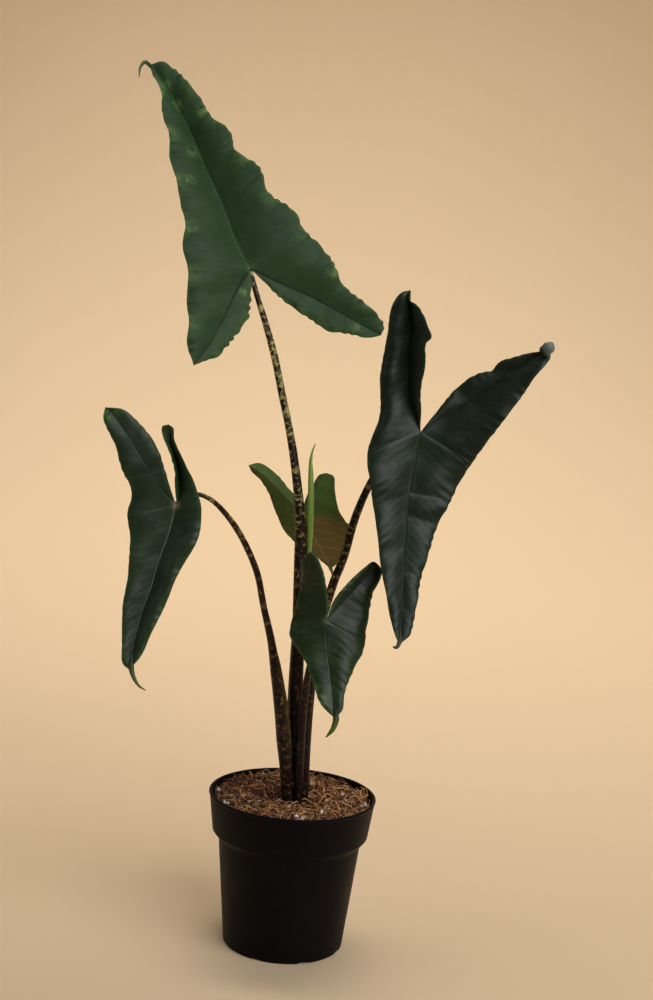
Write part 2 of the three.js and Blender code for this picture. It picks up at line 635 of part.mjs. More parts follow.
// Inner sheaths come first: each stalk gives way to those before it, and to its own blade.
const order = ["top", "right", "left", "back", "front"];
order.forEach((name, i) => {
  let solid = stalk(name);
  for (const inner of order.slice(0, i)) solid = solid.subtract(stalk(inner, GAP));
  if (name === "top") solid = solid.subtract(spear(GAP));
  const blade = bladeOf(LEAVES[name]);
  put("stalk_" + name, clearOf(solid, blade, GAP * 1.5), STALK_BROWN);
  put("blade_" + name, blade, LEAF_GREEN);
});
put("new_leaf", spear(), YOUNG_GREEN);
put("pot", potOf(), POT_BLACK);
put("soil", soilOf(order.map((name) => stalk(name, GAP))), COIR_BROWN);

export default plant;
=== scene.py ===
"""Looks for a tiger-stemmed alocasia in a black nursery pot.

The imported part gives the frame. Every leaf, stalk, the pot and the mix are made again here as finer surfaces
on the same lines: leaves with sunk veins and waved margins, stalks with mottled skin and sheath edges, a
turned pot, and a mix of coir fibre and perlite. Sizes are in millimetres until a mesh is made.
"""

import json
import math

import bpy
import numpy as np
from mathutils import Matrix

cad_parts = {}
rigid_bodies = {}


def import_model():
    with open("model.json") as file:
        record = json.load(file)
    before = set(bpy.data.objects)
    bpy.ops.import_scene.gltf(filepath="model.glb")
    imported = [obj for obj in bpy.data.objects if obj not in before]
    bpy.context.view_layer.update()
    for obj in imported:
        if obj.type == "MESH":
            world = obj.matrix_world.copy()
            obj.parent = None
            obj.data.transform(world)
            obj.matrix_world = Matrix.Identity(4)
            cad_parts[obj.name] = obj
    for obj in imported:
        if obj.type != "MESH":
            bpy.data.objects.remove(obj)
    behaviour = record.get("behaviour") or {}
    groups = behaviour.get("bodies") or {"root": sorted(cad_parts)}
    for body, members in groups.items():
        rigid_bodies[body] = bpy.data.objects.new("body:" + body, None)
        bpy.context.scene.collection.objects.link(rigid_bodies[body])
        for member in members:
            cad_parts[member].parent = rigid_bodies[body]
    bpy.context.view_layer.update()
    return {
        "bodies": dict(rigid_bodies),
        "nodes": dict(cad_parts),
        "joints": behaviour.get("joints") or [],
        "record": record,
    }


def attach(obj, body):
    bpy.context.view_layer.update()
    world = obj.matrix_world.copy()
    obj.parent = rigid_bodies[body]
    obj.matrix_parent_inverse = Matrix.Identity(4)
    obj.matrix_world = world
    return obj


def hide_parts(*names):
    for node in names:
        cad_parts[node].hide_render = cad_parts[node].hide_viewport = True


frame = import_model()

MM = 0.001

# The camera, worked out from the photograph's perspective on the pot's rim and foot
PHOTO_HEIGHT = 1000
FOCAL_PIXELS = 1500
SENSOR = 36
CAMERA_PLACE = (11.07, -1308.73, 558.12)
CAMERA_PITCH = math.radians(6.7)
CAMERA_ROLL = math.radians(4.2)

# Sizes that the solids share
RIM_RADIUS = 75
POT_HEIGHT = 138
FOOT_RADIUS = 54
WALL = 2
BLADE = 0.9
COLLAR_HEIGHT = 36
COLLAR_STEP = 6
COLLAR_TAPER = 4.3
LIP = 1.6
FOOT_RAISE = 2
FOOT_WIDTH = 7
HUB_RADIUS = 12
DRAIN_COUNT = 8
DRAIN_RADIUS = 4.5
DRAIN_RING = 34
NOTCH_WIDTH = 10
NOTCH_DEPTH = 1.8
SOIL_TOP = POT_HEIGHT - 8
STALK_FOOT = SOIL_TOP - 15

# Stalks, from below the mix to the blade: places [right, up, back] on the centre line, each with its radius.
# Pale lists the share of pale mottling at even steps from the foot to the blade. Fins are the free edges of
# a sheath: from height, to height, direction round the stalk in degrees from the right towards the front, how
# far it stands out, and how pale its edge is.
STALKS = {
    "top": {
        "points": [[6.3, 104, 4], [1.8, 158, 4], [-1.5, 190, 4], [-3.7, 222, 4.5], [-4.8, 258, 5],
                   [-5.2, 285, 5.5], [-6.6, 313, 6], [-8.6, 348, 7], [-10, 375, 8], [-11.7, 391, 8.5],
                   [-14.6, 409, 9], [-20, 437, 11], [-27, 466, 13], [-35, 494, 15], [-43, 523, 18],
                   [-53, 552, 21], [-64, 580, 25], [-71, 600, 29], [-74, 608, 32]],
        "radii": [5.4, 6.5, 7, 6.9, 6.3, 5.9, 5.6, 5.2, 4.9, 4.6, 4.1, 3.7, 3.3, 3.3, 3.2, 2.9, 2.4, 1.9,
                  1.2],
        "pale": [0.12, 0.14, 0.2, 0.3, 0.44, 0.55, 0.55, 0.5],
        "fins": [(300, 386, 10, 1.6, 0.2)],
    },
    "left": {
        "points": [[-1.5, 104, -2], [-6.6, 160, -4], [-11.2, 188, -6], [-15.5, 215, -8],
                   [-21.5, 245, -11], [-28.5, 279, -15], [-36.5, 309, -22], [-44, 340, -30],
                   [-53, 361, -37], [-63, 379, -45], [-71, 390, -51], [-80, 400, -57], [-88, 406, -62],
                   [-97, 409, -67], [-107, 406, -70], [-114, 400, -72]],
        "radii": [5, 6.5, 6.7, 6.1, 4.9, 3.4, 2.9, 2.8, 2.7, 2.6, 2.4, 2.1, 1.9, 1.8, 1.7, 1.5],
        "pale": [0.2, 0.26, 0.3, 0.28, 0.28, 0.3, 0.36, 0.5],
        "fins": [(172, 268, 12, 1.1, 1.0)],
    },
    "right": {
        "points": [[11.6, 104, 1], [9.4, 159, 1], [8.7, 196, 0], [9, 233, -1], [10, 261, -3], [13, 291, -6],
                   [18, 314, -9], [23, 335, -11], [30, 358, -15], [37, 393, -20], [47.6, 425, -27],
                   [60, 450, -36], [71, 465, -46], [80, 471, -53], [85, 473, -57.5]],
        "radii": [3.8, 4.3, 4.3, 4.4, 4.3, 4.2, 4, 3.8, 3.6, 3.5, 3.1, 2.7, 2.3, 2, 1.7],
        "pale": [0.14, 0.18, 0.24, 0.3, 0.36, 0.38, 0.4, 0.46],
        "fins": [(260, 318, 170, 1.7, 0.15)],
    },
    "front": {
        "points": [[7, 104, -6.5], [4.7, 162, -8], [4.2, 194, -9.5], [4.6, 227, -13], [6, 251, -19],
                   [8.5, 271, -29], [11, 290, -45], [14, 304, -62], [17, 312, -77]],
        "radii": [3.2, 3.8, 3.8, 3.5, 3, 2.5, 2.2, 1.9, 1.5],
        "pale": [0.12, 0.12, 0.14, 0.16, 0.2, 0.24, 0.26, 0.3],
        "fins": [],
    },
    "back": {
        "points": [[1.6, 104, 10.5], [-2.8, 183, 12], [-5.4, 238, 14], [-7.5, 292, 19], [-9, 336, 26],
                   [-9.5, 364, 34], [-10, 379, 43], [-10.6, 384, 48]],
        "radii": [3.4, 3.6, 3.4, 3.1, 2.7, 2.3, 1.9, 1.6],
        "pale": [0.15, 0.15, 0.2, 0.2, 0.25, 0.3, 0.3, 0.4],
        "fins": [],
    },
}

# The rolled new leaf, beside the tallest stalk where its sheath opens
SPEAR = {
    "points": [[-3, 312, 8], [-2, 335, 9], [-1.3, 357, 10.5], [-2, 384, 11], [-3, 405, 12], [-4.4, 424, 13],
               [-5.4, 437, 14], [-4.5, 445, 15], [-2.3, 452, 15.5]],
    "radii": [1.3, 2, 2.4, 2.7, 2.7, 2.3, 1.4, 0.8, 0.4],
}

# Leaves. Places are offsets from the junction, where the stalk meets the blade. Faces is roughly where the
# upper side looks. The ribs run from the junction to the tip and to the two lobe tips. Each outer margin runs
# from its lobe tip to the leaf tip, and its shoulder counts the places up to where the first side vein meets
# it. The inner margins edge the cleft between the lobes. Waves are [height, scallop, length, phase], ruffle is
# the height of the small waves on them, and quilt that of the swellings between veins. Arch is how far a half
# bulges, [before the junction, in its lobe]. Veins are [share of the rib's length where it leaves, share of
# the margin's length where it ends, strength], for the blade before the junction and for the lobes. Tails are
# the drip tip and curled lobe tips, each with how pale its end is; on the right leaf that pale end is a
# painted highlight. Light spots are patches in the leaf's light colour: right, up, size. On the top leaf they
# are painted light showing through the blade; on the left leaf one lightens the rolled lobe tip, and on the
# front leaf they make a pale band along the rolled margin.
# Mature is how far to the right the underside takes its grown colour.
LEAVES = {
    "top": {
        "junction": [-71, 601, 25],
        "faces": [0.2, 0.3, -1],
        "mature": -400,
        "rib_width": 2.2,
        "ruffle": 1.0,
        "waves": [2.3, 0, 43, 0.4],
        "quilt": 0.5,
        "midrib": [[-13, 21, 8], [-30, 56, 16], [-46, 85, 20], [-63, 118, 24], [-81, 147, 25], [-95, 166, 25],
                   [-102, 172, 25]],
        "left": {
            "rib": [[-9, -17, -6], [-18, -43, -19], [-30, -70, -33], [-40, -87, -44]],
            "outer": [[-43, -77, -45], [-47, -62, -44], [-48, -44, -39], [-50, -25, -34], [-53, 0, -27],
                      [-58, 19, -22], [-58, 32, -18], [-62, 53, -13], [-67, 63, -10], [-76, 96, -1],
                      [-81, 115, 4], [-88, 142, 12], [-94, 156, 16]],
            "arch": [1.0, 1.0],
            "shoulder": 5,
            "veins": [[0, 0, 0.5], [0.2, 0.17, 0.35], [0.37, 0.35, 0.3], [0.54, 0.52, 0.25],
                      [0.7, 0.69, 0.2], [0.84, 0.84, 0.15]],
            "lobe_veins": [[0, 0, 0.5], [0.3, 0.26, 0.25], [0.6, 0.58, 0.2]],
            "inner": [[2, -13, -1], [2, -29, -3], [1, -44, -7], [-6, -56, -14], [-15, -70, -23],
                      [-23, -79, -30], [-32, -83, -37]],
        },
        "right": {
            "rib": [[22, -9, 7], [56, -21, 13], [89, -36, 14], [120, -50, 15]],
            "outer": [[122, -41, 15], [106, -24, 14], [84, -9, 12], [72, 12, 12], [58, 27, 12], [44, 38, 12],
                      [35, 54, 12], [12, 67, 12], [1, 90, 14], [-21, 103, 16], [-27, 119, 18],
                      [-45, 132, 20], [-59, 151, 22], [-77, 168, 25], [-90, 175, 25]],
            "arch": [1.0, 1.0],
            "shoulder": 6,
            "veins": [[0, 0, 0.4], [0.2, 0.17, 0.4], [0.37, 0.35, 0.35], [0.54, 0.52, 0.3],
                      [0.7, 0.69, 0.2], [0.84, 0.84, 0.15]],
            "lobe_veins": [[0, 0, 0.4], [0.3, 0.26, 0.25], [0.6, 0.58, 0.2]],
            "inner": [[11, -9, 5], [26, -22, 8], [42, -33, 10], [55, -40, 12], [71, -49, 13], [91, -51, 13],
                      [110, -53, 14]],
        },
        "tails": [
            {"points": [[-92, 162, 25], [-100, 170, 25], [-105, 173, 20], [-108, 167, 12], [-108, 158, 7]],
             "radii": [1, 1.7, 1.7, 1.1, 0.4], "pale": 0.35},
        ],
        "light_spots": [[-84, 156, 4], [-75, 139, 4], [-52, 135, 5], [-59, 98, 4.5], [-61, 71, 4], [-54, 29, 4],
                   [-4, -21, 4], [75, 1, 4], [97, -47, 5]],
    },
    "left": {
        "junction": [-113, 400, -75],
        "faces": [-0.2, 0.2, -1],
        "mature": -400,
        "rib_width": 1.4,
        "ruffle": 0.3,
        "waves": [0.9, 0.3, 38, 0.2],
        "quilt": 0.4,
        "midrib": [[-4, -22, 0], [-11, -47, -3], [-16, -70, -8], [-22, -92, -14], [-26, -118, -21],
                   [-27, -136, -27]],
        "left": {
            "rib": [[-10, 10, -3], [-22, 26, -7], [-33, 42, -9], [-46, 60, -9], [-57, 73, -8], [-62, 77, -8]],
            "outer": [[-63, 69, -9], [-53, 49, -11], [-46, 30, -10], [-37, 8, -5], [-39, -10, -5],
                      [-36, -28, -7], [-35, -57, -11], [-37, -86, -18], [-35, -114, -24], [-33, -131, -27]],
            "arch": [0.8, 0.8],
            "shoulder": 5,
            "veins": [[0, 0, 1.0], [0.3, 0.24, 0.2], [0.6, 0.58, 0.2]],
            "lobe_veins": [[0, 0, 1.0], [0.34, 0.32, 0.3], [0.66, 0.68, 0.2]],
            "inner": [[-4, 10, -2], [-11, 29, -4], [-19, 48, -5], [-32, 64, -6], [-48, 76, -7]],
        },
        "right": {
            "rib": [[2, 13, 3], [-2, 32, 2], [-7, 48, -3], [-9, 67, -12]],
            "outer": [[-5, 64, -10], [-4, 55, -9], [6, 36, -7], [18, 11, -5], [22, -5, -5], [20, -28, -8],
                      [8, -52, -12], [-2, -81, -18], [-13, -109, -24], [-19, -124, -27]],
            "arch": [2.2, 1.0],
            "shoulder": 4,
            "veins": [[0, 0, 0.3], [0.24, 0.2, 0.3], [0.5, 0.48, 0.25], [0.75, 0.75, 0.2]],
            "lobe_veins": [[0, 0, 0.3], [0.4, 0.4, 0.2]],
            "inner": [[-1, 10, -4], [-3, 31, -10], [-9, 47, -12], [-13, 57, -12], [-14, 65, -12]],
        },
        "tails": [
            {"points": [[-26, -122, -23], [-26, -133, -27], [-23, -141, -30], [-18, -147, -33],
                        [-12, -150, -35]],
             "radii": [1, 2.4, 1.7, 1, 0.4], "pale": 0.5},
        ],
        "light_spots": [[-60, 73, 7]],
    },
    "right": {
        "junction": [85, 474, -60],
        "faces": [0.1, 0.2, -1],
        "mature": -400,
        "rib_width": 1.6,
        "ruffle": 0.5,
        "waves": [1.2, 0.3, 44, 0.5],
        "quilt": 0.8,
        "midrib": [[-3, -17, -1], [-6, -45, -6], [-7, -75, -12], [-7, -102, -20], [-6, -129, -28],
                   [-5, -153, -36], [-6, -172, -44]],
        "left": {
            "rib": [[-8, 18, 4], [-13, 38, 5], [-15, 67, 4], [-16, 90, 2], [-18, 116, -5]],
            "outer": [[-26, 113, -7], [-32, 101, -6], [-34, 76, -1], [-37, 44, 1], [-35, 12, -1],
                      [-43, -20, -10], [-39, -44, -16], [-32, -76, -22], [-24, -116, -31], [-17, -142, -38],
                      [-11, -162, -42]],
            "arch": [0.9, 3.4],
            "shoulder": 6,
            "veins": [[0, 0, 0.7], [0.3, 0.27, 0.2], [0.55, 0.53, 0.15], [0.75, 0.75, 0.1]],
            "lobe_veins": [[0, 0, 0.7], [0.36, 0.34, 0.2], [0.68, 0.68, 0.15]],
            "inner": [[-1, 14, -3], [-3, 36, -8], [-1, 58, -11], [-2, 73, -13], [2, 79, -15], [-2, 88, -13],
                      [-6, 97, -11], [-11, 104, -9], [-18, 108, -8]],
        },
        "right": {
            "rib": [[23, 18, 4], [44, 33, 5], [66, 51, 2], [85, 67, -3], [100, 78, -7]],
            "outer": [[101, 70, -10], [88, 50, -10], [76, 29, -9], [58, 0, -6], [44, -24, 0], [32, -49, -3],
                      [20, -77, -10], [11, -110, -20], [6, -142, -31], [3, -163, -40]],
            "arch": [0.9, 0.9],
            "shoulder": 5,
            "veins": [[0, 0, 1.0], [0.29, 0.2, 1.0], [0.4, 0.34, 0.6], [0.66, 0.62, 0.5],
                      [0.83, 0.82, 0.2]],
            "lobe_veins": [[0, 0, 1.0], [0.36, 0.34, 0.15], [0.68, 0.68, 0.1]],
            "inner": [[11, 16, 3], [27, 38, 6], [38, 48, 6], [47, 53, 5], [55, 55, 4], [58, 59, 4],
                      [63, 64, 2], [73, 68, 0], [84, 72, -3], [93, 74, -6]],
        },
        "tails": [
            # On this leaf the tails' pale ends are a painted highlight, strongest on the curled lobe tip.
            {"points": [[-6, -158, -38], [-6, -170, -43], [-8, -174, -45], [-11, -174, -44]],
             "radii": [1, 1.9, 1.5, 0.6], "pale": 0.2},
            {"points": [[92, 71, -10], [95, 74, -11], [99, 78, -11], [101, 81, -9]],
             "radii": [1.5, 4.8, 5.2, 2.4], "pale": 0.6},
        ],
        "light_spots": [],
    },
    "front": {
        "junction": [18, 313, -80],
        "faces": [0, 0.3, -1],
        "mature": -400,
        "rib_width": 0.7,
        "ruffle": 0.4,
        "waves": [0.7, 0.3, 33, 0],
        "quilt": 0.4,
        "midrib": [[2, -20, -4], [6, -41, -10], [10, -61, -18], [13, -76, -25]],
        "left": {
            "rib": [[-5, 15, -1], [-12, 35, -4], [-17, 58, -10]],
            "outer": [[-22, 53, -5], [-24, 35, 3], [-24, 18, 7], [-29, -5, 8], [-27, -21, 4],
                      [-15, -34, -5], [-7, -51, -13], [1, -66, -22]],
            "arch": [1.0, 1.0],
            "shoulder": 4,
            "veins": [[0, 0, 0.2], [0.33, 0.3, 0.15], [0.65, 0.65, 0.15]],
            "lobe_veins": [[0, 0, 0.2], [0.4, 0.38, 0.15]],
            "inner": [[1, 13, -1], [-2, 30, -3], [-6, 44, -6], [-12, 55, -9]],
        },
        "right": {
            "rib": [[10, 12, 5], [23, 27, 10], [33, 40, 14], [40, 48, 17]],
            "outer": [[44, 42, 18], [39, 26, 15], [35, 6, 11], [34, -18, 4], [27, -37, -6],
                      [20, -54, -15], [19, -69, -22]],
            "arch": [1.3, 1.2],
            "shoulder": 4,
            "veins": [[0, 0, 0.9], [0.33, 0.3, 0.3], [0.65, 0.65, 0.2]],
            "lobe_veins": [[0, 0, 0.9], [0.4, 0.38, 0.2]],
            "inner": [[6, 18, 4], [18, 34, 9], [29, 45, 13], [36, 50, 16]],
        },
        "tails": [
            {"points": [[12, -66, -21], [14, -76, -26], [12, -84, -29], [7, -91, -30]],
             "radii": [0.5, 2.7, 2.1, 0.7], "pale": 0.5},
        ],
        "light_spots": [[-22, -28, 2.5], [-17, -38, 2.5], [-11, -47, 3], [-6, -55, 3], [1, -63, 3.5]],
    },
    "back": {
        "junction": [-11, 386, 50],
        "faces": [0, 0.6, 0.8],
        "mature": 4,
        "rib_width": 1.4,
        "ruffle": 0.4,
        "waves": [0.8, 0.4, 34, 0.3],
        "quilt": 0.7,
        "midrib": [[8, -16, 17], [18, -36, 38], [27, -53, 59], [31, -62, 71]],
        "left": {
            "rib": [[-12, 10, -2], [-27, 24, -3], [-42, 35, 0], [-51, 39, 2]],
            "outer": [[-48, 34, 6], [-41, 27, 8], [-30, 11, 10], [-20, -14, 26], [-6, -35, 48],
                      [13, -49, 64]],
            "arch": [0.6, 0.6],
            "shoulder": 4,
            "veins": [[0, 0, 0.9], [0.25, 0.22, 0.8], [0.5, 0.48, 0.8], [0.75, 0.76, 0.6]],
            "lobe_veins": [[0, 0, 0.9], [0.4, 0.38, 0.5], [0.72, 0.72, 0.4]],
            "inner": [[-3, 9, 4], [-14, 21, 7], [-29, 35, 8], [-41, 41, 6]],
        },
        "right": {
            "rib": [[7, 12, -2], [14, 24, -2], [20, 37, 2]],
            "outer": [[27, 34, 4], [29, 22, 5], [34, 3, 8], [46, -15, 26], [45, -36, 49], [38, -54, 65]],
            "arch": [0.6, 0.6],
            "shoulder": 4,
            "veins": [[0, 0, 0.9], [0.14, 0.12, 0.6], [0.28, 0.26, 0.9], [0.42, 0.4, 0.6],
                      [0.56, 0.55, 0.8], [0.75, 0.76, 0.6]],
            "lobe_veins": [[0, 0, 0.9], [0.4, 0.38, 0.5], [0.72, 0.72, 0.4]],
            "inner": [[3, 12, 4], [8, 24, 6], [13, 34, 6]],
        },
        "tails": [
            {"points": [[27, -54, 61], [31, -62, 71], [33, -68, 79], [34, -74, 85]],
             "radii": [1, 1.8, 1.2, 0.5], "pale": 1.0},
        ],
        "light_spots": [],
    },
}


# Meshes

TINY = 1e-12
CURVE_STEPS = 600
ATTRIBUTES = {1: ("FLOAT", "value"), 3: ("FLOAT_VECTOR", "vector"), 4: ("FLOAT_COLOR", "color")}


def placed(places):
    """Places written [right, up, back] as x, y, z."""
    return np.array(places, float)[:, [0, 2, 1]]


def unit(vectors, tiny=0.0):
    """Vectors divided by their lengths; tiny keeps one of no length finite."""
    return vectors / (np.linalg.norm(vectors, axis=-1, keepdims=True) + tiny)


def bump(distance, width):
    """A bell curve: 1 at no distance, falling to nothing over about two widths."""
    return np.exp(-((distance / width) ** 2))


def circle(sides):
    """Angles at even steps round a full turn."""
    return np.arange(sides) / sides * 2 * np.pi


def grid_quads(rows, columns, closed=False, start=0):
    """Quads between neighbours of a grid of vertices numbered row by row from start; closed joins the last
    column to the first."""
    row = np.arange(rows - 1)[:, None] * columns + start
    column = np.arange(columns if closed else columns - 1)[None, :]
    beside = (column + 1) % columns
    corners = [row + column, row + beside, row + columns + beside, row + columns + column]
    return np.stack(corners, -1).reshape(-1, 4)


def end_fans(sides, last_row, first_tip, last_tip):
    """Two fans of triangles that close a tube, one at its first ring and one at the ring that starts at
    last_row."""
    here = np.arange(sides)
    beside = (here + 1) % sides
    return [np.stack([np.full(sides, first_tip), beside, here], -1),
            np.stack([np.full(sides, last_tip), last_row + here, last_row + beside], -1)]


def squeezed(quads):
    """Splits quads into whole ones and those with two equal corners, which become triangles."""
    same = quads == np.roll(quads, -1, axis=1)
    whole = quads[same.sum(1) == 0]
    cut = []
    for corner in range(4):
        rest = [k for k in range(4) if k != corner]
        cut.append(quads[(same.sum(1) == 1) & same[:, corner]][:, rest])
    return whole, np.concatenate(cut)


def welded(points, steps):
    """Which points stay when all that round to the same place become one, with so many steps to the
    millimetre, and the number of the kept point for each."""
    _, first, index = np.unique(np.round(points * steps), axis=0, return_index=True, return_inverse=True)
    return first, index.ravel()


def make_piece(name, points, faces, material, marks):
    """Makes a mesh object from points in millimetres and groups of faces, with its marks as named vertex
    attributes."""
    mesh = bpy.data.meshes.new(name)
    corners = [face for group in faces for face in group.tolist()]
    mesh.from_pydata((np.asarray(points) * MM).tolist(), [], corners)
    mesh.polygons.foreach_set("use_smooth", np.ones(len(mesh.polygons), bool))
    for label, values in marks.items():
        kind, field = ATTRIBUTES[values.shape[1]]
        layer = mesh.attributes.new(label, kind, "POINT")
        layer.data.foreach_set(field, values.astype(np.float32).ravel())
    mesh.materials.append(material)
    mesh.validate()
    piece = bpy.data.objects.new(name, mesh)
    bpy.context.scene.collection.objects.link(piece)
    return piece


def in_frame(piece, replaced=None):
    """Lets a piece ride on the part, and stand in for one of its nodes if it replaces one."""
    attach(piece, "root")
    if replaced:
        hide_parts(replaced)


def join_shells(shells):
    """Joins (points, faces, marks) shells into one set of points, faces and marks."""
    points = np.concatenate([shell[0] for shell in shells])
    faces, start = [], 0
    for shell in shells:
        faces += [group + start for group in shell[1]]
        start += len(shell[0])
    marks = {label: np.concatenate([shell[2][label] for shell in shells]) for label in shells[0][2]}
    return points, faces, marks


# Curves and tubes

def curve_through(places):
    """A centripetal Catmull-Rom curve: each span is a cubic whose end slopes weigh the neighbouring chords by
    the square roots of their lengths. Returns its places as a function of a parameter from 0 to 1."""
    knots = np.asarray(places, float)
    line = np.vstack([2 * knots[0] - knots[1], knots, 2 * knots[-1] - knots[-2]])

    def at(share):
        spot = np.clip(share, 0, 1) * (len(knots) - 1)
        span = np.minimum(spot.astype(int), len(knots) - 2)
        w = (spot - span)[:, None]
        before, start, stop, after = (line[span + k] for k in range(4))
        pairs = ((before, start), (start, stop), (stop, after))
        d0, d1, d2 = (np.sqrt(np.linalg.norm(b - a, axis=1))[:, None] for a, b in pairs)
        leave = ((start - before) / d0 - (stop - before) / (d0 + d1) + (stop - start) / d1) * d1
        reach = ((stop - start) / d1 - (after - start) / (d1 + d2) + (after - stop) / d2) * d1
        square = 3 * (stop - start) - 2 * leave - reach
        cube = 2 * (start - stop) + leave + reach
        return start + leave * w + square * w**2 + cube * w**3

    return at


def reach_along(places):
    """How far along a line of places each of them lies."""
    return np.concatenate([[0], np.cumsum(np.linalg.norm(np.diff(places, axis=0), axis=1))])


def along(curve, start, stop, shares):
    """Places on a curve between two of its parameters, at the given shares of the length between them, their
    parameters, and that length."""
    fine = np.linspace(start, stop, CURVE_STEPS)
    reach = reach_along(curve(fine))
    parameters = np.interp(shares * reach[-1], reach, fine)
    return curve(parameters), parameters, reach[-1]


def frames_along(places):
    """Two unit directions across a line, carried along it with no twist: each new one is the last one with
    its part along the tangent taken out."""
    tangents = unit(np.gradient(places, axis=0))
    side = np.cross(tangents[0], [0, 1, 0])
    sides = []
    for tangent in tangents:
        side = unit(side - tangent * (side @ tangent))
        sides.append(side)
    return np.array(sides), np.cross(tangents, sides)


def tube(points, radii, step, sides, spread=None):
    """A closed tapered tube: circles of radius r(s) round a curve, r interpolated between the given radii on
    the curve's own parameter and half eased. spread(share, angle, (centre, side, over)) may add to it.
    Returns points, faces, the share along it, the angle round it and the length."""
    curve = curve_through(points)
    length = along(curve, 0, 1, np.zeros(1))[2]
    share = np.linspace(0, 1, max(6, int(length / step)))
    centre, parameter, _ = along(curve, 0, 1, share)
    spot = parameter * (len(radii) - 1)
    whole = np.minimum(spot.astype(int), len(radii) - 2)
    ease = spot - whole
    ease = 0.5 * ease + 0.5 * ease * ease * (3 - 2 * ease)
    radius = np.array(radii)[whole] * (1 - ease) + np.array(radii)[whole + 1] * ease
    side, over = frames_along(centre)
    angle = circle(sides)
    grow = radius[:, None] + (spread(share, angle, (centre, side, over)) if spread else 0)
    ring = np.cos(angle)[None, :, None] * side[:, None, :] + np.sin(angle)[None, :, None] * over[:, None, :]
    skin = (centre[:, None, :] + ring * grow[:, :, None]).reshape(-1, 3)
    fans = end_fans(sides, len(skin) - sides, len(skin), len(skin) + 1)
    around = np.concatenate([np.repeat(share, sides), [0, 1]])
    turn = np.concatenate([np.tile(angle, len(share)), [0, 0]])
    points = np.concatenate([skin, centre[:1], centre[-1:]])
    return points, [grid_quads(len(share), sides, True), *fans], around, turn, length


# Leaves: counts of rows, then widths and heights in millimetres, then shares

FRONT_ROWS = 113
LOBE_ROWS = 73
WELD_STEPS = 200
NORMAL_ROUNDS = 60
CALM_WIDTH = 12
NARROW_WIDTH = 14
VEIN_WIDTH = 0.65
VEIN_GROOVE = 0.45
VEIN_RIDGE = 0.5
RIB_GROOVE = 0.36
RIB_RIDGE = 1.5
RIM_WIDTH = 1.5
RIM_THINNED = 1.6
CREST_WIDTH = 9
PLAIN_BY_VEIN = 5
JUNCTION_SHEEN_WIDTH = 3.2
MATURE_WIDTH = 9
RIPPLE = 0.06
RIPPLE_LENGTH = 6.5
UNEVEN = 0.35
UNEVEN_LENGTH = 34
RUFFLE_LENGTH = 11
RUFFLE_BEAT = 37
RUFFLE_START = 8
ARCH = 0.28
SWELL_SHARE = 0.35
SLANT = 0.85
RIB_TAPER = 0.75
TAIL_STEP = 0.8
TAIL_SIDES = 16
ACROSS = np.concatenate([np.linspace(0, 0.1, 7)[:-1], np.linspace(0.1, 0.9, 19)[:-1], np.linspace(0.9, 1, 6)])


def ripple(points):
    """A gentle unevenness: two products of crossing sine waves added together."""
    turn = 2 * np.pi / UNEVEN_LENGTH
    x, y, z = points.T
    first = np.sin(turn * (0.9 * x + 0.3 * z) + 1.1) * np.cos(turn * (0.8 * z - 0.4 * x + 0.3 * y))
    second = np.sin(turn * 1.7 * (0.5 * x - 0.8 * z) + 2.3) * 0.5
    return UNEVEN * (first + second)


def half_patches(leaf, shape, sign):
    """The three patches of one half of a leaf: before the junction, the lobe's outer side and its inner side.
    Each is (spine, edge, rows, sign, travel, veins, bulge, spine length, edge length). travel is 1 where the
    rows run with the margin, -1 where they run against it and 0 along the cleft."""
    rib, outer = shape["rib"], shape["outer"]
    tip, lobe_tip, junction = leaf["midrib"][-1], rib[-1], [0, 0, 0]
    margin = curve_through(placed([lobe_tip, *outer, tip]))
    turn = shape["shoulder"] / (len(outer) + 1)
    midrib = curve_through(placed([junction, *leaf["midrib"]]))
    lobe_rib = curve_through(placed([junction, *rib]))
    cleft = curve_through(placed([junction, *shape["inner"], lobe_tip]))
    front_bulge, lobe_bulge = shape["arch"]
    lobe_veins = shape["lobe_veins"]
    patches = []
    for spine, edge, start, stop, side, travel, veins, bulge in (
        (midrib, margin, turn, 1, sign, 1, shape["veins"], front_bulge),
        (lobe_rib, margin, turn, 0, -sign, -1, lobe_veins, lobe_bulge),
        (lobe_rib, cleft, 0, 1, sign, 0, lobe_veins[1:], min(lobe_bulge, 1)),
    ):
        rows = np.linspace(0, 1, FRONT_ROWS if travel == 1 else LOBE_ROWS)
        middle, _, middle_length = along(spine, 0, 1, rows)
        rim, _, rim_length = along(edge, start, stop, rows)
        patches.append((middle, rim, rows, side, travel, veins, bulge, middle_length, rim_length))
    return patches


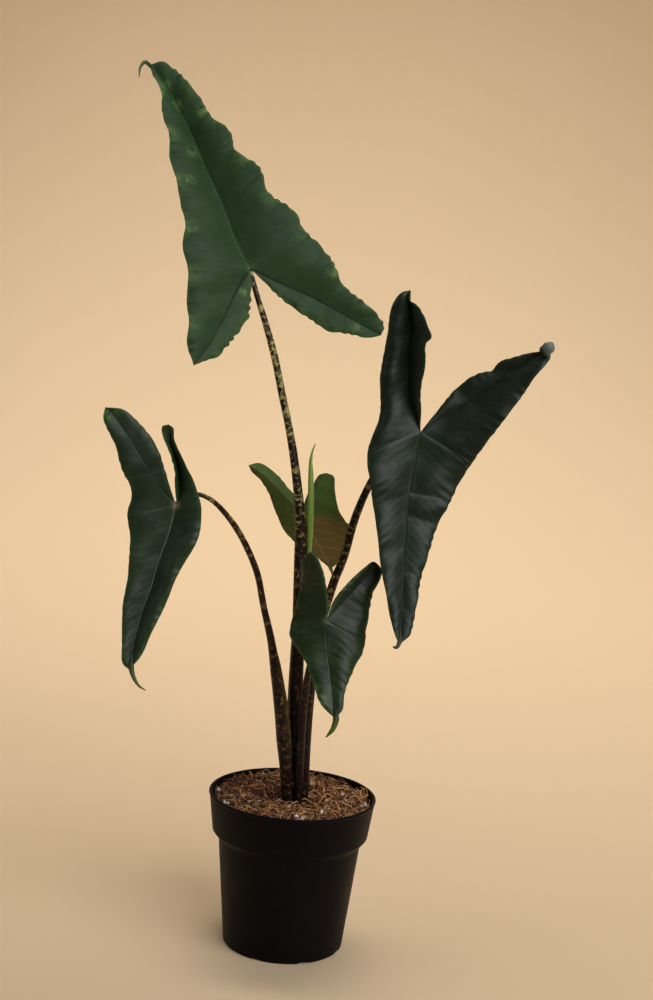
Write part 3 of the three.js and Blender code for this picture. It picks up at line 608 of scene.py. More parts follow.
def patch_surface(leaf, patch):
    """One patch of the blade: a point is spine + outward * (edge - spine), outward from 0 at the rib to 1 at
    the margin with a slight scallop, and its lift off the sheet is an arch plus a wave that grows with the
    square of outward. Veins are sunk above and raised below, and the blade between them is quilted."""
    spine, edge, row, sign, travel, veins, bulge, spine_length, edge_length = patch
    height, scallop, wave_length, phase = leaf["waves"]
    reach = reach_along(edge)[:, None]
    width = np.linalg.norm(edge - spine, axis=1)[:, None]
    v = ACROSS[None, :]
    u = row[:, None]
    calm = np.minimum(1, width / CALM_WIDTH)
    narrow = np.minimum(1, width / NARROW_WIDTH)
    middle = 4 * v * (1 - v)

    wave = np.sin(2 * np.pi * (travel * reach / wave_length + phase * (1 + sign * travel * 0.3)))
    run = reach * (travel or 1)
    frill = np.sin(2 * np.pi * run / RUFFLE_LENGTH + 2.2 * np.sin(2 * np.pi * run / RUFFLE_BEAT + phase))
    frill *= np.sin(np.minimum(1, (run / RUFFLE_START) ** 2) * np.pi / 2) * leaf["ruffle"]
    outward = v + v * v * (scallop * wave + 0.6 * v**4 * frill) * calm / np.maximum(width, 1)
    points = spine[:, None, :] + (edge - spine)[:, None, :] * outward[:, :, None]
    swell = 1 + (bulge - 1) * np.minimum(1, u / SWELL_SHARE)
    arch = ARCH * swell * width * v * (1 - v) * (0.35 + 1.1 * v)
    lift = arch + v * v * height * wave * calm + v**4 * frill * calm

    long = (spine_length * (1 - v) + edge_length * v) * SLANT
    vein, beside = 0 * v * u, 1e3 + 0 * v * u
    for leaves, ends, strength in veins:
        off = np.abs(u - leaves - (ends - leaves) * v**1.3 - 0.02 * v**4) * long
        line = bump(off, VEIN_WIDTH * (1.15 - 0.5 * v)) * (1 - 0.7 * v**5)
        vein = np.maximum(vein, strength * line)
        beside = np.minimum(beside, off)
    vein = vein * narrow
    taper = 1 - RIB_TAPER * u
    off_rib, off_rim = v * width, (1 - v) * width
    rib_width = leaf["rib_width"] * (1 if travel == 1 else 0.5)
    rib = bump(off_rib, rib_width * (1 - 0.62 * u))
    lips = bump(off_rib - rib_width * 1.5 * (1 - 0.5 * u), rib_width * 0.7)
    fine = RIPPLE * np.sin(2 * np.pi * u * long / RIPPLE_LENGTH + 2 * np.sin(off_rib / 6)) * middle
    quilt = leaf["quilt"] * (1 - bump(beside, PLAIN_BY_VEIN)) * middle**0.8 * narrow
    groove = VEIN_GROOVE * vein * (1 - rib) + RIB_GROOVE * rib_width * (rib - 0.3 * lips) * taper
    ridge = RIB_RIDGE * rib * taper + VEIN_RIDGE * vein * (0.4 + 0.6 * taper)
    thick = BLADE / 2 * (1 - 0.55 * bump(off_rim, RIM_THINNED))
    fields = {
        "upper": lift + quilt + fine - groove + thick,
        "lower": lift + quilt - ridge - thick,
        "rib": rib,
        "vein": vein,
        "rim": bump(off_rim, RIM_WIDTH),
        # Where painted light shows through the blade: the wave crests, strongest at the margin.
        "crest_glow_mask": np.clip(wave, 0, 1) * bump(off_rim, CREST_WIDTH) * calm,
        "front": 0 * vein + (travel == 1),
        "across": off_rib,
        "streak": u * long,
    }
    return points, sign, {label: field.ravel() for label, field in fields.items()}


def smooth_normals(points, whole, cut):
    """Vertex normals from the faces' cross products, averaged with their neighbours many times over."""
    triangles = np.concatenate([whole[:, [0, 1, 2]], whole[:, [0, 2, 3]], cut])
    a, b, c = (points[triangles[:, k]] for k in range(3))
    count = len(points)

    def gathered(corners, vectors):
        return np.stack([np.bincount(corners, vectors[:, k], count) for k in range(3)], -1)

    normals = gathered(triangles.T.ravel(), np.tile(np.cross(b - a, c - a), (3, 1)))
    start = triangles.ravel()
    stop = np.roll(triangles, -1, axis=1).ravel()
    for _ in range(NORMAL_ROUNDS):
        normals = unit(normals, TINY)
        normals = normals * 2 + gathered(start, normals[stop]) + gathered(stop, normals[start])
    return unit(normals, TINY)


def leaf_shell(leaf):
    """The blade as a closed sheet: its six patches joined at shared places, an upper and a lower face lifted
    along the smoothed normals, and a strip that joins them round the margin."""
    patches = [patch_surface(leaf, patch) for half, sign in (("left", 1), ("right", -1))
               for patch in half_patches(leaf, leaf[half], sign)]
    quads, start = [], 0
    for points, sign, _ in patches:
        made = grid_quads(*points.shape[:2], start=start)
        quads.append(made if sign < 0 else made[:, ::-1])
        start += points.shape[0] * points.shape[1]
    every = np.concatenate([points.reshape(-1, 3) for points, _, _ in patches])
    first, index = welded(every, WELD_STEPS)
    points = every[first]
    count = len(points)
    share = np.bincount(index, minlength=count)

    def merged(label):
        return np.bincount(index, np.concatenate([fields[label] for _, _, fields in patches]), count) / share

    whole, cut = squeezed(index[np.concatenate(quads)])
    normals = smooth_normals(points, whole, cut)
    if normals.mean(0) @ placed([leaf["faces"]])[0] < 0:
        whole, cut, normals = whole[:, ::-1], cut[:, ::-1], -normals
    above, below = (points + normals * (merged(label) + ripple(points))[:, None]
                    for label in ("upper", "lower"))
    sides = np.concatenate([group[:, [k, (k + 1) % group.shape[1]]] for group in (whole, cut)
                            for k in range(group.shape[1])])
    forward = sides[:, 0].astype(np.int64) * count + sides[:, 1]
    backward = sides[:, 1].astype(np.int64) * count + sides[:, 0]
    rim = sides[~np.isin(forward, backward)]
    strip = np.stack([rim[:, 1], rim[:, 0], rim[:, 0] + count, rim[:, 1] + count], -1)
    faces = [whole, cut, whole[:, ::-1] + count, cut[:, ::-1] + count, strip]

    # Light spots: on the top leaf, painted light showing through the blade.
    light_spots = np.zeros(count)
    for right, up, size in leaf["light_spots"]:
        light_spots = np.maximum(light_spots, bump(np.hypot(points[:, 0] - right, points[:, 2] - up), size))
    # A painted sheen round the junction.
    junction_sheen = bump(np.linalg.norm(points, axis=1), JUNCTION_SHEEN_WIDTH)
    grown = np.clip((points[:, 0] - leaf["mature"]) / MATURE_WIDTH, 0, 1)
    one, zero = np.ones(count), np.zeros(count)
    veining = [merged("rib"), merged("vein"), merged("rim")]
    zones = [merged("crest_glow_mask"), light_spots, merged("front")]
    grain = [merged("streak"), merged("across"), zero]
    marks = {
        "veining": ([*veining, zero], [*veining, one]),
        "zones": ([*zones, junction_sheen], [*zones[:2], zones[2] * grown, junction_sheen]),
        "grain": (grain, grain),
    }
    marks = {label: np.concatenate([np.stack(face, -1) for face in both]) for label, both in marks.items()}
    marks["tip_paleness_and_glint"] = np.zeros((2 * count, 1))
    return np.concatenate([above, below]), faces, marks


def tail_shell(tail):
    """A drip tip or a curled lobe tip, as a tapered tube with the leaf's own marks."""
    points, faces, share, turn, length = tube(placed(tail["points"]), tail["radii"], TAIL_STEP, TAIL_SIDES)
    plain = np.zeros((len(points), 4))
    grain = np.stack([share * length, turn, plain[:, 0]], -1)
    # The pale end: a yellow-green tip on most leaves, a painted highlight on the right leaf's tails.
    pale = tail["pale"] * np.clip((share - 0.2) / 0.6, 0, 1)[:, None]
    return points, faces, {"veining": plain, "zones": plain, "grain": grain, "tip_paleness_and_glint": pale}


def make_leaf(name, material):
    """A leaf: its blade and its tails in one piece, moved to the junction."""
    leaf = LEAVES[name]
    points, faces, marks = join_shells([leaf_shell(leaf), *[tail_shell(tail) for tail in leaf["tails"]]])
    piece = make_piece("leaf_" + name, points + placed([leaf["junction"]])[0], faces, material, marks)
    in_frame(piece, "blade_" + name)


# Stalks and the rolled leaf

STALK_STEP = 1.4
STALK_SIDES = 36
STALK_RIBS = 9
STALK_RIB_HEIGHT = 0.05
FIN_WIDTH = 0.22
FIN_EDGE_WIDTH = 0.55
SPEAR_STEP = 1.0
SPEAR_SIDES = 40
SPEAR_LAP = 0.5
SPEAR_TWIST = 0.3
SPEAR_SEAM = 0.15


def outwards(degrees):
    """A level direction, in degrees from the right towards the front."""
    return np.array([math.cos(math.radians(degrees)), -math.sin(math.radians(degrees)), 0])


def make_stalk(name, material):
    """A stalk: a tapered tube with shallow ribs along it, a thin fin wherever a sheath's free edge shows, and
    its lower end cut off below the mix."""
    stalk = STALKS[name]

    def fins(share, angle, frame):
        centre, side, over = frame
        grow = STALK_RIB_HEIGHT * np.sin(angle * STALK_RIBS)[None, :] * np.ones((len(share), 1))
        for low, high, towards, height, _ in stalk["fins"]:
            out = outwards(towards)
            middle = np.arctan2(over @ out, side @ out)[:, None]
            off = np.angle(np.exp(1j * (angle[None, :] - middle)))
            rise = np.clip((centre[:, 2] - low) / (high - low), 0, 1)[:, None]
            tall = np.sin(np.pi * rise**1.8) ** 0.7 * (rise < 1)
            grow = grow + height * tall * bump(off, FIN_WIDTH)
        return grow

    line = placed(stalk["points"])
    points, faces, share, turn, length = tube(line, stalk["radii"], STALK_STEP, STALK_SIDES, fins)
    points[:, 2] = np.maximum(points[:, 2], STALK_FOOT)
    pale = np.interp(share, np.linspace(0, 1, len(stalk["pale"])), stalk["pale"])
    away = points - along(curve_through(line), 0, 1, share)[0]
    edge = np.zeros(len(points))
    for low, high, towards, _, bright in stalk["fins"]:
        off = np.arccos(np.clip(unit(away, TINY) @ outwards(towards), -1, 1))
        rise = np.clip((points[:, 2] - low) / (high - low), 0, 1)
        edge = np.maximum(edge, bright * bump(off, FIN_EDGE_WIDTH) * np.sin(np.pi * rise) ** 0.5)
    radius = np.linalg.norm(away, axis=1)
    wrap = np.stack([np.cos(turn) * radius, np.sin(turn) * radius, share * length], -1)
    coat = np.stack([pale, edge, share, np.zeros(len(points))], -1)
    piece = make_piece("petiole_" + name, points, faces, material, {"wrap": wrap, "coat": coat})
    in_frame(piece, "stalk_" + name)


def seam_at(turn, share):
    """How far round from the lapped edge a place is, in turns: the edge winds slowly up the rolled leaf."""
    return (turn / (2 * np.pi) + SPEAR_SEAM + share * SPEAR_TWIST) % 1


def make_spear(material):
    """The rolled new leaf: a tapered tube whose radius steps down once round it, where the blade's edge laps
    over itself in a slow spiral."""
    def lap(share, angle, _):
        fade = np.sin(np.pi * np.clip(share, 0.02, 0.97))[:, None]
        return (seam_at(angle[None, :], share[:, None]) - 0.5) * SPEAR_LAP * fade

    line = placed(SPEAR["points"])
    points, faces, share, turn, length = tube(line, SPEAR["radii"], SPEAR_STEP, SPEAR_SIDES, lap)
    seam = seam_at(turn, share)
    coat = np.stack([share, np.maximum(bump(seam, 0.05), bump(1 - seam, 0.1)), turn, 0 * share], -1)
    wrap = np.stack([np.cos(turn), np.sin(turn), share * length], -1)
    piece = make_piece("rolled_leaf", points, faces, material, {"wrap": wrap, "coat": coat})
    in_frame(piece, "new_leaf")


# Pot

POT_SIDES = 192
COLLAR_FOOT = POT_HEIGHT - COLLAR_HEIGHT
COLLAR_RADIUS = RIM_RADIUS - LIP / 2 - COLLAR_TAPER
NECK_RADIUS = COLLAR_RADIUS - COLLAR_STEP
NECK_TOP = COLLAR_FOOT - COLLAR_STEP
FLOOR = FOOT_RAISE + WALL
FOOT_INNER = FOOT_RADIUS - FOOT_WIDTH
DRAIN_INNER = 24
DRAIN_OUTER = 44
HOLE_STEPS = 8
BEVEL = 0.8
ROUNDING = 0.6
SHARP_ANGLE = math.radians(38)
POT_WELD = 100


def rounded(corners):
    """A profile with each inner corner replaced by a small arc: a quadratic curve that starts and stops the
    rounding, or a third of the side, before and after the corner."""
    corners = np.asarray(corners, float)
    line = [corners[:1]]
    w = np.linspace(0, 1, 4)[:, None]
    for before, corner, after in zip(corners[:-2], corners[1:-1], corners[2:]):
        start, stop = (corner + side * min(ROUNDING / np.linalg.norm(side), 0.33)
                       for side in (before - corner, after - corner))
        line.append((1 - w) ** 2 * start + 2 * w * (1 - w) * corner + w**2 * stop)
    line.append(corners[-1:])
    return np.concatenate(line)


def turned(profile, sides, notched=False):
    """A profile [radius, height] turned round the axis. Where notched, the foot is lifted to the notch's
    depth inside each notch's width."""
    angle = circle(sides)
    radius, height = (np.array(profile, float)[:, k:k + 1] * np.ones((1, sides)) for k in (0, 1))
    if notched:
        sector = 2 * np.pi / DRAIN_COUNT
        off = np.abs((angle % sector) - sector / 2)[None, :] * radius
        inside = (off < NOTCH_WIDTH / 2) & (radius > FOOT_RADIUS - 2 * FOOT_WIDTH)
        height = np.where(inside, np.maximum(height, NOTCH_DEPTH), height)
    return np.stack([radius * np.cos(angle), radius * np.sin(angle), height], -1)


def holed_ring(height, up):
    """A flat ring with a round hole in each of its sectors: within a sector, a point is blended from the
    hole's circle to the sector's outline, which is a box in radius and angle."""
    around = np.arange(4 * HOLE_STEPS) / HOLE_STEPS
    side, w = around.astype(int), around % 1
    ahead, falling = 1 + 0 * w, 1 - 2 * w
    across = np.select([side == 0, side == 1, side == 2], [ahead, falling, -ahead], -falling)
    turn = np.select([side == 0, side == 1, side == 2], [-falling, ahead, falling], -ahead)
    half = np.pi / DRAIN_COUNT
    box_radius = (DRAIN_INNER + DRAIN_OUTER) / 2 + across * (DRAIN_OUTER - DRAIN_INNER) / 2
    box = np.stack([box_radius * np.cos(turn * half), box_radius * np.sin(turn * half)], -1)
    hole = [DRAIN_RING, 0] + unit(box - [DRAIN_RING, 0]) * DRAIN_RADIUS
    blend = np.linspace(0, 1, 5)[:, None, None]
    sheet = hole[None] * (1 - blend) + box[None] * blend
    points, faces = [], []
    for k in range(DRAIN_COUNT):
        angle = (k + 0.5) * 2 * half
        spin = np.array([[math.cos(angle), math.sin(angle)], [-math.sin(angle), math.cos(angle)]])
        flat = (sheet @ spin).reshape(-1, 2)
        quads = grid_quads(len(blend), len(around), True, k * len(flat))
        points.append(np.column_stack([flat, np.full(len(flat), height)]))
        faces.append(quads[:, ::-1] if up else quads)
    return np.concatenate(points), np.concatenate(faces), len(blend) * len(around), len(around)


def make_pot(material):
    """The pot: an outside and an inside profile turned round the axis, joined through the drain holes."""
    outside = rounded([
        [DRAIN_OUTER, FOOT_RAISE], [FOOT_INNER, FOOT_RAISE], [FOOT_INNER + 1, 0],
        [FOOT_RADIUS - 1, 0], [FOOT_RADIUS, 1], [NECK_RADIUS, NECK_TOP],
        [COLLAR_RADIUS - 1, COLLAR_FOOT], [COLLAR_RADIUS, COLLAR_FOOT + 1],
        [RIM_RADIUS - LIP / 2, POT_HEIGHT - 3], [RIM_RADIUS, POT_HEIGHT - 2], [RIM_RADIUS, POT_HEIGHT - 0.7],
        [RIM_RADIUS - BEVEL, POT_HEIGHT], [RIM_RADIUS - WALL, POT_HEIGHT],
        [RIM_RADIUS - WALL - BEVEL, POT_HEIGHT - 1], [COLLAR_RADIUS - WALL, COLLAR_FOOT],
        [NECK_RADIUS - WALL, NECK_TOP], [FOOT_RADIUS - WALL, FLOOR], [DRAIN_OUTER, FLOOR],
    ])
    floor = [[DRAIN_INNER, FLOOR], [0, FLOOR]]
    hub = [[0, 0], [HUB_RADIUS, 0], [HUB_RADIUS, FOOT_RAISE], [DRAIN_INNER, FOOT_RAISE]]
    shells = []
    for profile, notched in ((outside, True), (floor, False), (hub, False)):
        skin = turned(profile, POT_SIDES, notched).reshape(-1, 3)
        shells.append((skin, [grid_quads(len(profile), POT_SIDES, True)], {}))
    low, low_faces, block, around = holed_ring(FOOT_RAISE, False)
    high, high_faces, _, _ = holed_ring(FLOOR, True)
    here = np.arange(around)
    beside = (here + 1) % around
    walls = [np.stack([here + k, here + k + len(low), beside + k + len(low), beside + k], -1)
             for k in np.arange(DRAIN_COUNT) * block]
    shells.append((np.concatenate([low, high]), [low_faces, high_faces + len(low), *walls], {}))
    points, faces, _ = join_shells(shells)
    first, index = welded(points, POT_WELD)
    piece = make_piece("nursery_pot", points[first], squeezed(index[np.concatenate(faces)]), material, {})
    piece.data.set_sharp_from_angle(angle=SHARP_ANGLE)
    in_frame(piece, "pot")


# Growing mix

MIX_GAP = 0.5
BRIM_GAP = 0.35
BRIM_INSET = 1.0
COLLAR_FLARE = (SOIL_TOP - COLLAR_FOOT) / COLLAR_HEIGHT * COLLAR_TAPER
BRIM = COLLAR_RADIUS - WALL - BRIM_GAP + COLLAR_FLARE - BRIM_INSET
SHOULDER = SOIL_TOP - 8
SOIL_RINGS = 110
SOIL_SIDES = 260
SOIL_EDGE = 2.5
SOIL_EDGE_DROP = 1.6
BARE_WIDTH = math.sqrt(90)


def mound(x, y, cx, cy, wide):
    """A round bell over a place."""
    return np.exp(-((x - cx) ** 2 + (y - cy) ** 2) / wide**2)


def soil_height(x, y):
    """How high the mix lies at a place: a dish with a heap at the back left and a hollow round the clump,
    covered in lumps of three sizes."""
    dish = 0.0004 * (x * x + y * y)
    heaps = 3 * mound(x, y, -34, 32, 30) - 2.6 * mound(x, y, 4, 0, 22) - 3 * mound(x, y, 20, -3, 7)
    large = np.sin(x * 0.21 + 1.3) * np.cos(y * 0.24 - 0.6)
    middling = 0.6 * np.sin(x * 0.47 - y * 0.39 + 2.1)
    small = 0.5 * np.cos(x * 0.83 + y * 0.71)
    return SOIL_TOP + dish + heaps + large + middling + small


def crumbs(x, y):
    """Fine crumbs on the mix: folded sine waves of a few millimetres' length, which leave sharp pits."""
    fine = np.abs(np.sin(x * 1.9 + 1.4 * np.sin(y * 1.3)) * np.cos(y * 2.1 + 1.2 * np.sin(x * 1.1)))
    finer = np.abs(np.sin(x * 4.3 + y * 2.2) * np.cos(y * 4.7 - x * 1.7))
    return 1.1 * fine + 0.5 * finer - 0.8


def strawy(x, y):
    """How thick the pale fibre lies at a place, from 0 to 1: slow and quick crossing waves added together,
    less a small bare spot to the left of the stalks."""
    slow = np.sin(x * 0.11 + 0.9 * np.sin(y * 0.09) + 0.4) * np.cos(y * 0.13 - 0.5 * np.sin(x * 0.12) - 0.2)
    quick = np.sin(x * 0.31 + 1.7) * np.sin(y * 0.37 - x * 0.12 + 0.8)
    bare = mound(x, y, -33, 4, BARE_WIDTH)
    return np.clip(0.6 + 0.32 * slow + 0.28 * quick + 0.004 * x - 0.5 * bare, 0, 1)


def make_mix(material):
    """The mix as one closed body: a turned block whose top follows soil_height with crumbs on it."""
    reach = (np.linspace(0, 1, SOIL_RINGS) ** 0.8 * BRIM)[:, None]
    angle = circle(SOIL_SIDES)[None, :]
    x, y = reach * np.cos(angle), reach * np.sin(angle)
    edge = np.clip((reach - BRIM + SOIL_EDGE) / SOIL_EDGE, 0, 1)
    top = np.stack([x, y, soil_height(x, y) + crumbs(x, y) * (1 - edge) - SOIL_EDGE_DROP * edge**2], -1)
    inset = WALL + MIX_GAP
    walls = [[BRIM, SHOULDER], [COLLAR_RADIUS - inset, COLLAR_FOOT], [NECK_RADIUS - inset, NECK_TOP],
             [FOOT_RADIUS - inset, FLOOR + MIX_GAP], [0, FLOOR + MIX_GAP]]
    skin = np.concatenate([top, turned(walls, SOIL_SIDES)])
    points = skin.reshape(-1, 3)
    first, index = welded(points, POT_WELD)
    faces = squeezed(index[grid_quads(len(skin), SOIL_SIDES, True)[:, ::-1]])
    in_frame(make_piece("coir_mix", points[first], faces, material, {}), "soil")


def scattered(roll, count, clear):
    """Random places on the mix, denser with the square root so that they are even over the disc, and none
    within the given distance of a stalk."""
    angle = roll.uniform(0, 2 * np.pi, count * 2)
    reach = np.sqrt(roll.uniform(0, 1, count * 2)) * (BRIM - 1)
    x, y = reach * np.cos(angle), reach * np.sin(angle)
    free = np.ones(len(x), bool)
    for stalk in STALKS.values():
        foot, bend = placed(stalk["points"][:2])
        cx, cy, _ = foot + (bend - foot) * (SOIL_TOP - foot[2]) / (bend[2] - foot[2])
        free &= np.hypot(x - cx, y - cy) > stalk["radii"][0] + clear
    return x[free][:count], y[free][:count]


def kept_inside(x, y, radius):
    """Places pulled straight in towards the middle where they lie outside a radius."""
    pull = np.minimum(1, radius / np.hypot(x, y))
    return x * pull, y * pull


def repeated(faces, count, block):
    """The same faces for each of count copies, whose vertices come in blocks."""
    return (faces[None] + np.arange(count)[:, None, None] * block).reshape(-1, faces.shape[1])


STATIONS = 8
FIBRE_SIDES = 3
FIBRE_CLEAR = 1.0
FIBRE_TURN = 1.5
STICKING_SHARE = 0.06


def make_fibres(name, seed, count, lengths, thickness, rise, patchy, material):
    """Coir fibres, left out at random where strawy is low as far as patchy says: each is a line of stations
    whose heading turns steadily, laid on the mix and arched by rise * sin(pi * share), some with one end
    standing up, and given a three-sided section."""
    roll = np.random.default_rng(seed)
    x0, y0 = scattered(roll, count, FIBRE_CLEAR)
    thick = strawy(x0, y0)
    kept = roll.uniform(0, 1, len(x0)) < np.clip(1 + patchy * (2 * thick - 1.2), 0, 1)
    x0, y0, thick = x0[kept], y0[kept], thick[kept]
    count = len(x0)
    share = np.linspace(0, 1, STATIONS)[None, :]
    step = roll.uniform(*lengths, count)[:, None] / (STATIONS - 1)
    heading = roll.uniform(0, 2 * np.pi, count)[:, None]
    turn = roll.normal(0, FIBRE_TURN, count)[:, None]
    wiggle = roll.uniform(0, 2 * np.pi, count)[:, None]
    course = heading + turn * share + 0.35 * np.sin(share * 9 + wiggle)
    x, y = kept_inside(x0[:, None] + np.cumsum(np.cos(course) * step, 1),
                       y0[:, None] + np.cumsum(np.sin(course) * step, 1), BRIM - 0.5)
    arch = np.minimum(roll.gamma(1.6, rise / 1.6, count), 3 * rise)[:, None] * np.sin(np.pi * share)
    sticking = (roll.uniform(0, 1, count) < STICKING_SHARE)[:, None]
    sticking = sticking * roll.uniform(2, 6, count)[:, None] * share**2
    z = soil_height(x, y) + arch + sticking + roll.uniform(-0.5, 0.5, count)[:, None]
    centre = np.stack([x, y, z], -1)
    tangent = unit(np.gradient(centre, axis=1), TINY)
    side = unit(np.cross(tangent, [0, 0, 1.0]), TINY)
    over = np.cross(side, tangent)
    radius = roll.uniform(*thickness, count)[:, None] * (1 - 0.5 * np.abs(2 * share - 1) ** 3)
    angle = circle(FIBRE_SIDES)[:, None]
    ring = side[:, :, None, :] * np.cos(angle) + over[:, :, None, :] * np.sin(angle)
    skin = centre[:, :, None, :] + ring * radius[:, :, None, None]
    block = STATIONS * FIBRE_SIDES
    ends = np.arange(FIBRE_SIDES)
    faces = [repeated(grid_quads(STATIONS, FIBRE_SIDES, True), count, block),
             repeated(np.stack([ends[::-1], ends + block - FIBRE_SIDES]), count, block)]
    tone = np.repeat(roll.uniform(0, 1, count) ** 1.4 * (0.4 + 0.9 * thick), block)[:, None]
    in_frame(make_piece(name, skin.reshape(-1, 3), faces, material, {"tone": tone}))


GRAIN_RINGS = 5
GRAIN_SIDES = 7
GRAIN_CLEAR = 3.0


def make_grains(name, seed, count, sizes, sunk, material):
    """Grains: copies of a ball of few faces, each pushed in and out by its own random amounts, turned about,
    flattened a little, and sunk into the mix."""
    roll = np.random.default_rng(seed)
    x, y = scattered(roll, count, GRAIN_CLEAR)
    count = len(x)
    polar = (np.arange(GRAIN_RINGS) + 0.5)[:, None] / GRAIN_RINGS * np.pi
    turn = circle(GRAIN_SIDES)[None, :]
    level = np.cos(polar) + 0 * turn
    ball = np.stack([np.sin(polar) * np.cos(turn), np.sin(polar) * np.sin(turn), level], -1)
    ball = np.concatenate([ball.reshape(-1, 3), [[0, 0, 1.0], [0, 0, -1.0]]])
    size = sizes[0] + (sizes[1] - sizes[0]) * roll.uniform(0, 1, count) ** 2.2
    uneven = roll.uniform(0.75, 1.2, (count, len(ball)))
    shape = ball[None] * uneven[:, :, None] * roll.uniform(0.7, 1.25, (count, 1, 3))
    axis = unit(roll.normal(size=(count, 3)))[:, None]
    angle = roll.uniform(0, np.pi, count)[:, None, None]
    on_axis = np.sum(shape * axis, 2)[:, :, None] * axis
    spun = shape * np.cos(angle) + np.cross(axis, shape) * np.sin(angle) + on_axis * (1 - np.cos(angle))
    x, y = kept_inside(x, y, BRIM - size - 0.3)
    centre = np.stack([x, y, soil_height(x, y) + size * (1 - sunk)], -1)
    points = centre[:, None] + spun * size[:, None, None]
    tip = GRAIN_RINGS * GRAIN_SIDES
    groups = [grid_quads(GRAIN_RINGS, GRAIN_SIDES, True),
              *end_fans(GRAIN_SIDES, tip - GRAIN_SIDES, tip, tip + 1)]
    faces = [repeated(group[:, ::-1], count, len(ball)) for group in groups]
    tone = np.repeat(roll.uniform(0, 1, count), len(ball))[:, None]
    piece = make_piece(name, points.reshape(-1, 3), faces, material, {"tone": tone})
    piece.data.polygons.foreach_set("use_smooth", np.zeros(len(piece.data.polygons), bool))
    in_frame(piece)


# Materials

MIX_A, MIX_B, MIX_OUT = 6, 7, 2


def linear(colour):
    """An sRGB hex colour as linear red, green, blue and alpha."""
    parts = [int(colour[k:k + 2], 16) / 255 for k in (1, 3, 5)]
    return [p / 12.92 if p <= 0.04045 else ((p + 0.055) / 1.055) ** 2.4 for p in parts] + [1]


def new_tree(name):
    """A new material and its node tree."""
    material = bpy.data.materials.new(name)
    material.use_nodes = True
    return material, material.node_tree


def add(tree, kind, inputs, **settings):
    """Adds a shader node, applies its settings, and gives each input its value or its link."""
    node = tree.nodes.new("ShaderNode" + kind)
    for name, value in settings.items():
        setattr(node, name, value)
    for socket, value in inputs.items():
        if isinstance(value, bpy.types.NodeSocket):
            tree.links.new(value, node.inputs[socket])
        else:
            node.inputs[socket].default_value = value
    return node


def marks_of(tree, *names):
    """The outputs of the mesh's own marks."""
    return [add(tree, "Attribute", {}, attribute_name=name).outputs for name in names]


def parts_of(tree, colour):
    """The three numbers in a colour socket."""
    return list(add(tree, "SeparateColor", {"Color": colour}).outputs)


def object_place(tree):
    """The place on the object, in metres."""
    return add(tree, "TexCoord", {}).outputs["Object"]


def stretched(tree, place, scale, **more):
    """A place with each of its directions scaled."""
    return add(tree, "Mapping", {"Vector": place, "Scale": scale, **more}).outputs["Vector"]


def noise(tree, place, scale, detail, **more):
    """Fractal noise over a place."""
    return add(tree, "TexNoise", {"Vector": place, "Scale": scale, "Detail": detail, **more}).outputs["Fac"]


def ranged(tree, value, low, high, start=0.0, stop=1.0):
    """A value that goes from start to stop while its source goes from low to high."""
    ends = {"From Min": low, "From Max": high, "To Min": start, "To Max": stop}
    return add(tree, "MapRange", {"Value": value, **ends}).outputs["Result"]


def maths(tree, operation, *values):
    """One step of arithmetic."""
    return add(tree, "Math", dict(enumerate(values)), operation=operation).outputs[0]


def over(tree, share, colour, below):
    """One colour laid over another by a share. A colour is a socket or an sRGB hex."""
    top, bottom = (linear(c) if isinstance(c, str) else c for c in (colour, below))
    return add(tree, "Mix", {0: share, MIX_A: bottom, MIX_B: top}, data_type="RGBA").outputs[MIX_OUT]


def dress(tree, colour, rough, relief, constants):
    """Gives the shader its colour, its roughness, a relief as (height, strength, depth in metres), and its
    constants."""
    height, strength, depth = relief
    raised = add(tree, "Bump", {"Height": height, "Strength": strength, "Distance": depth}).outputs["Normal"]
    shader = tree.nodes["Principled BSDF"].inputs
    for socket, source in (("Base Color", colour), ("Roughness", rough), ("Normal", raised)):
        tree.links.new(source, shader[socket])
    for socket, value in constants.items():
        shader[socket].default_value = value


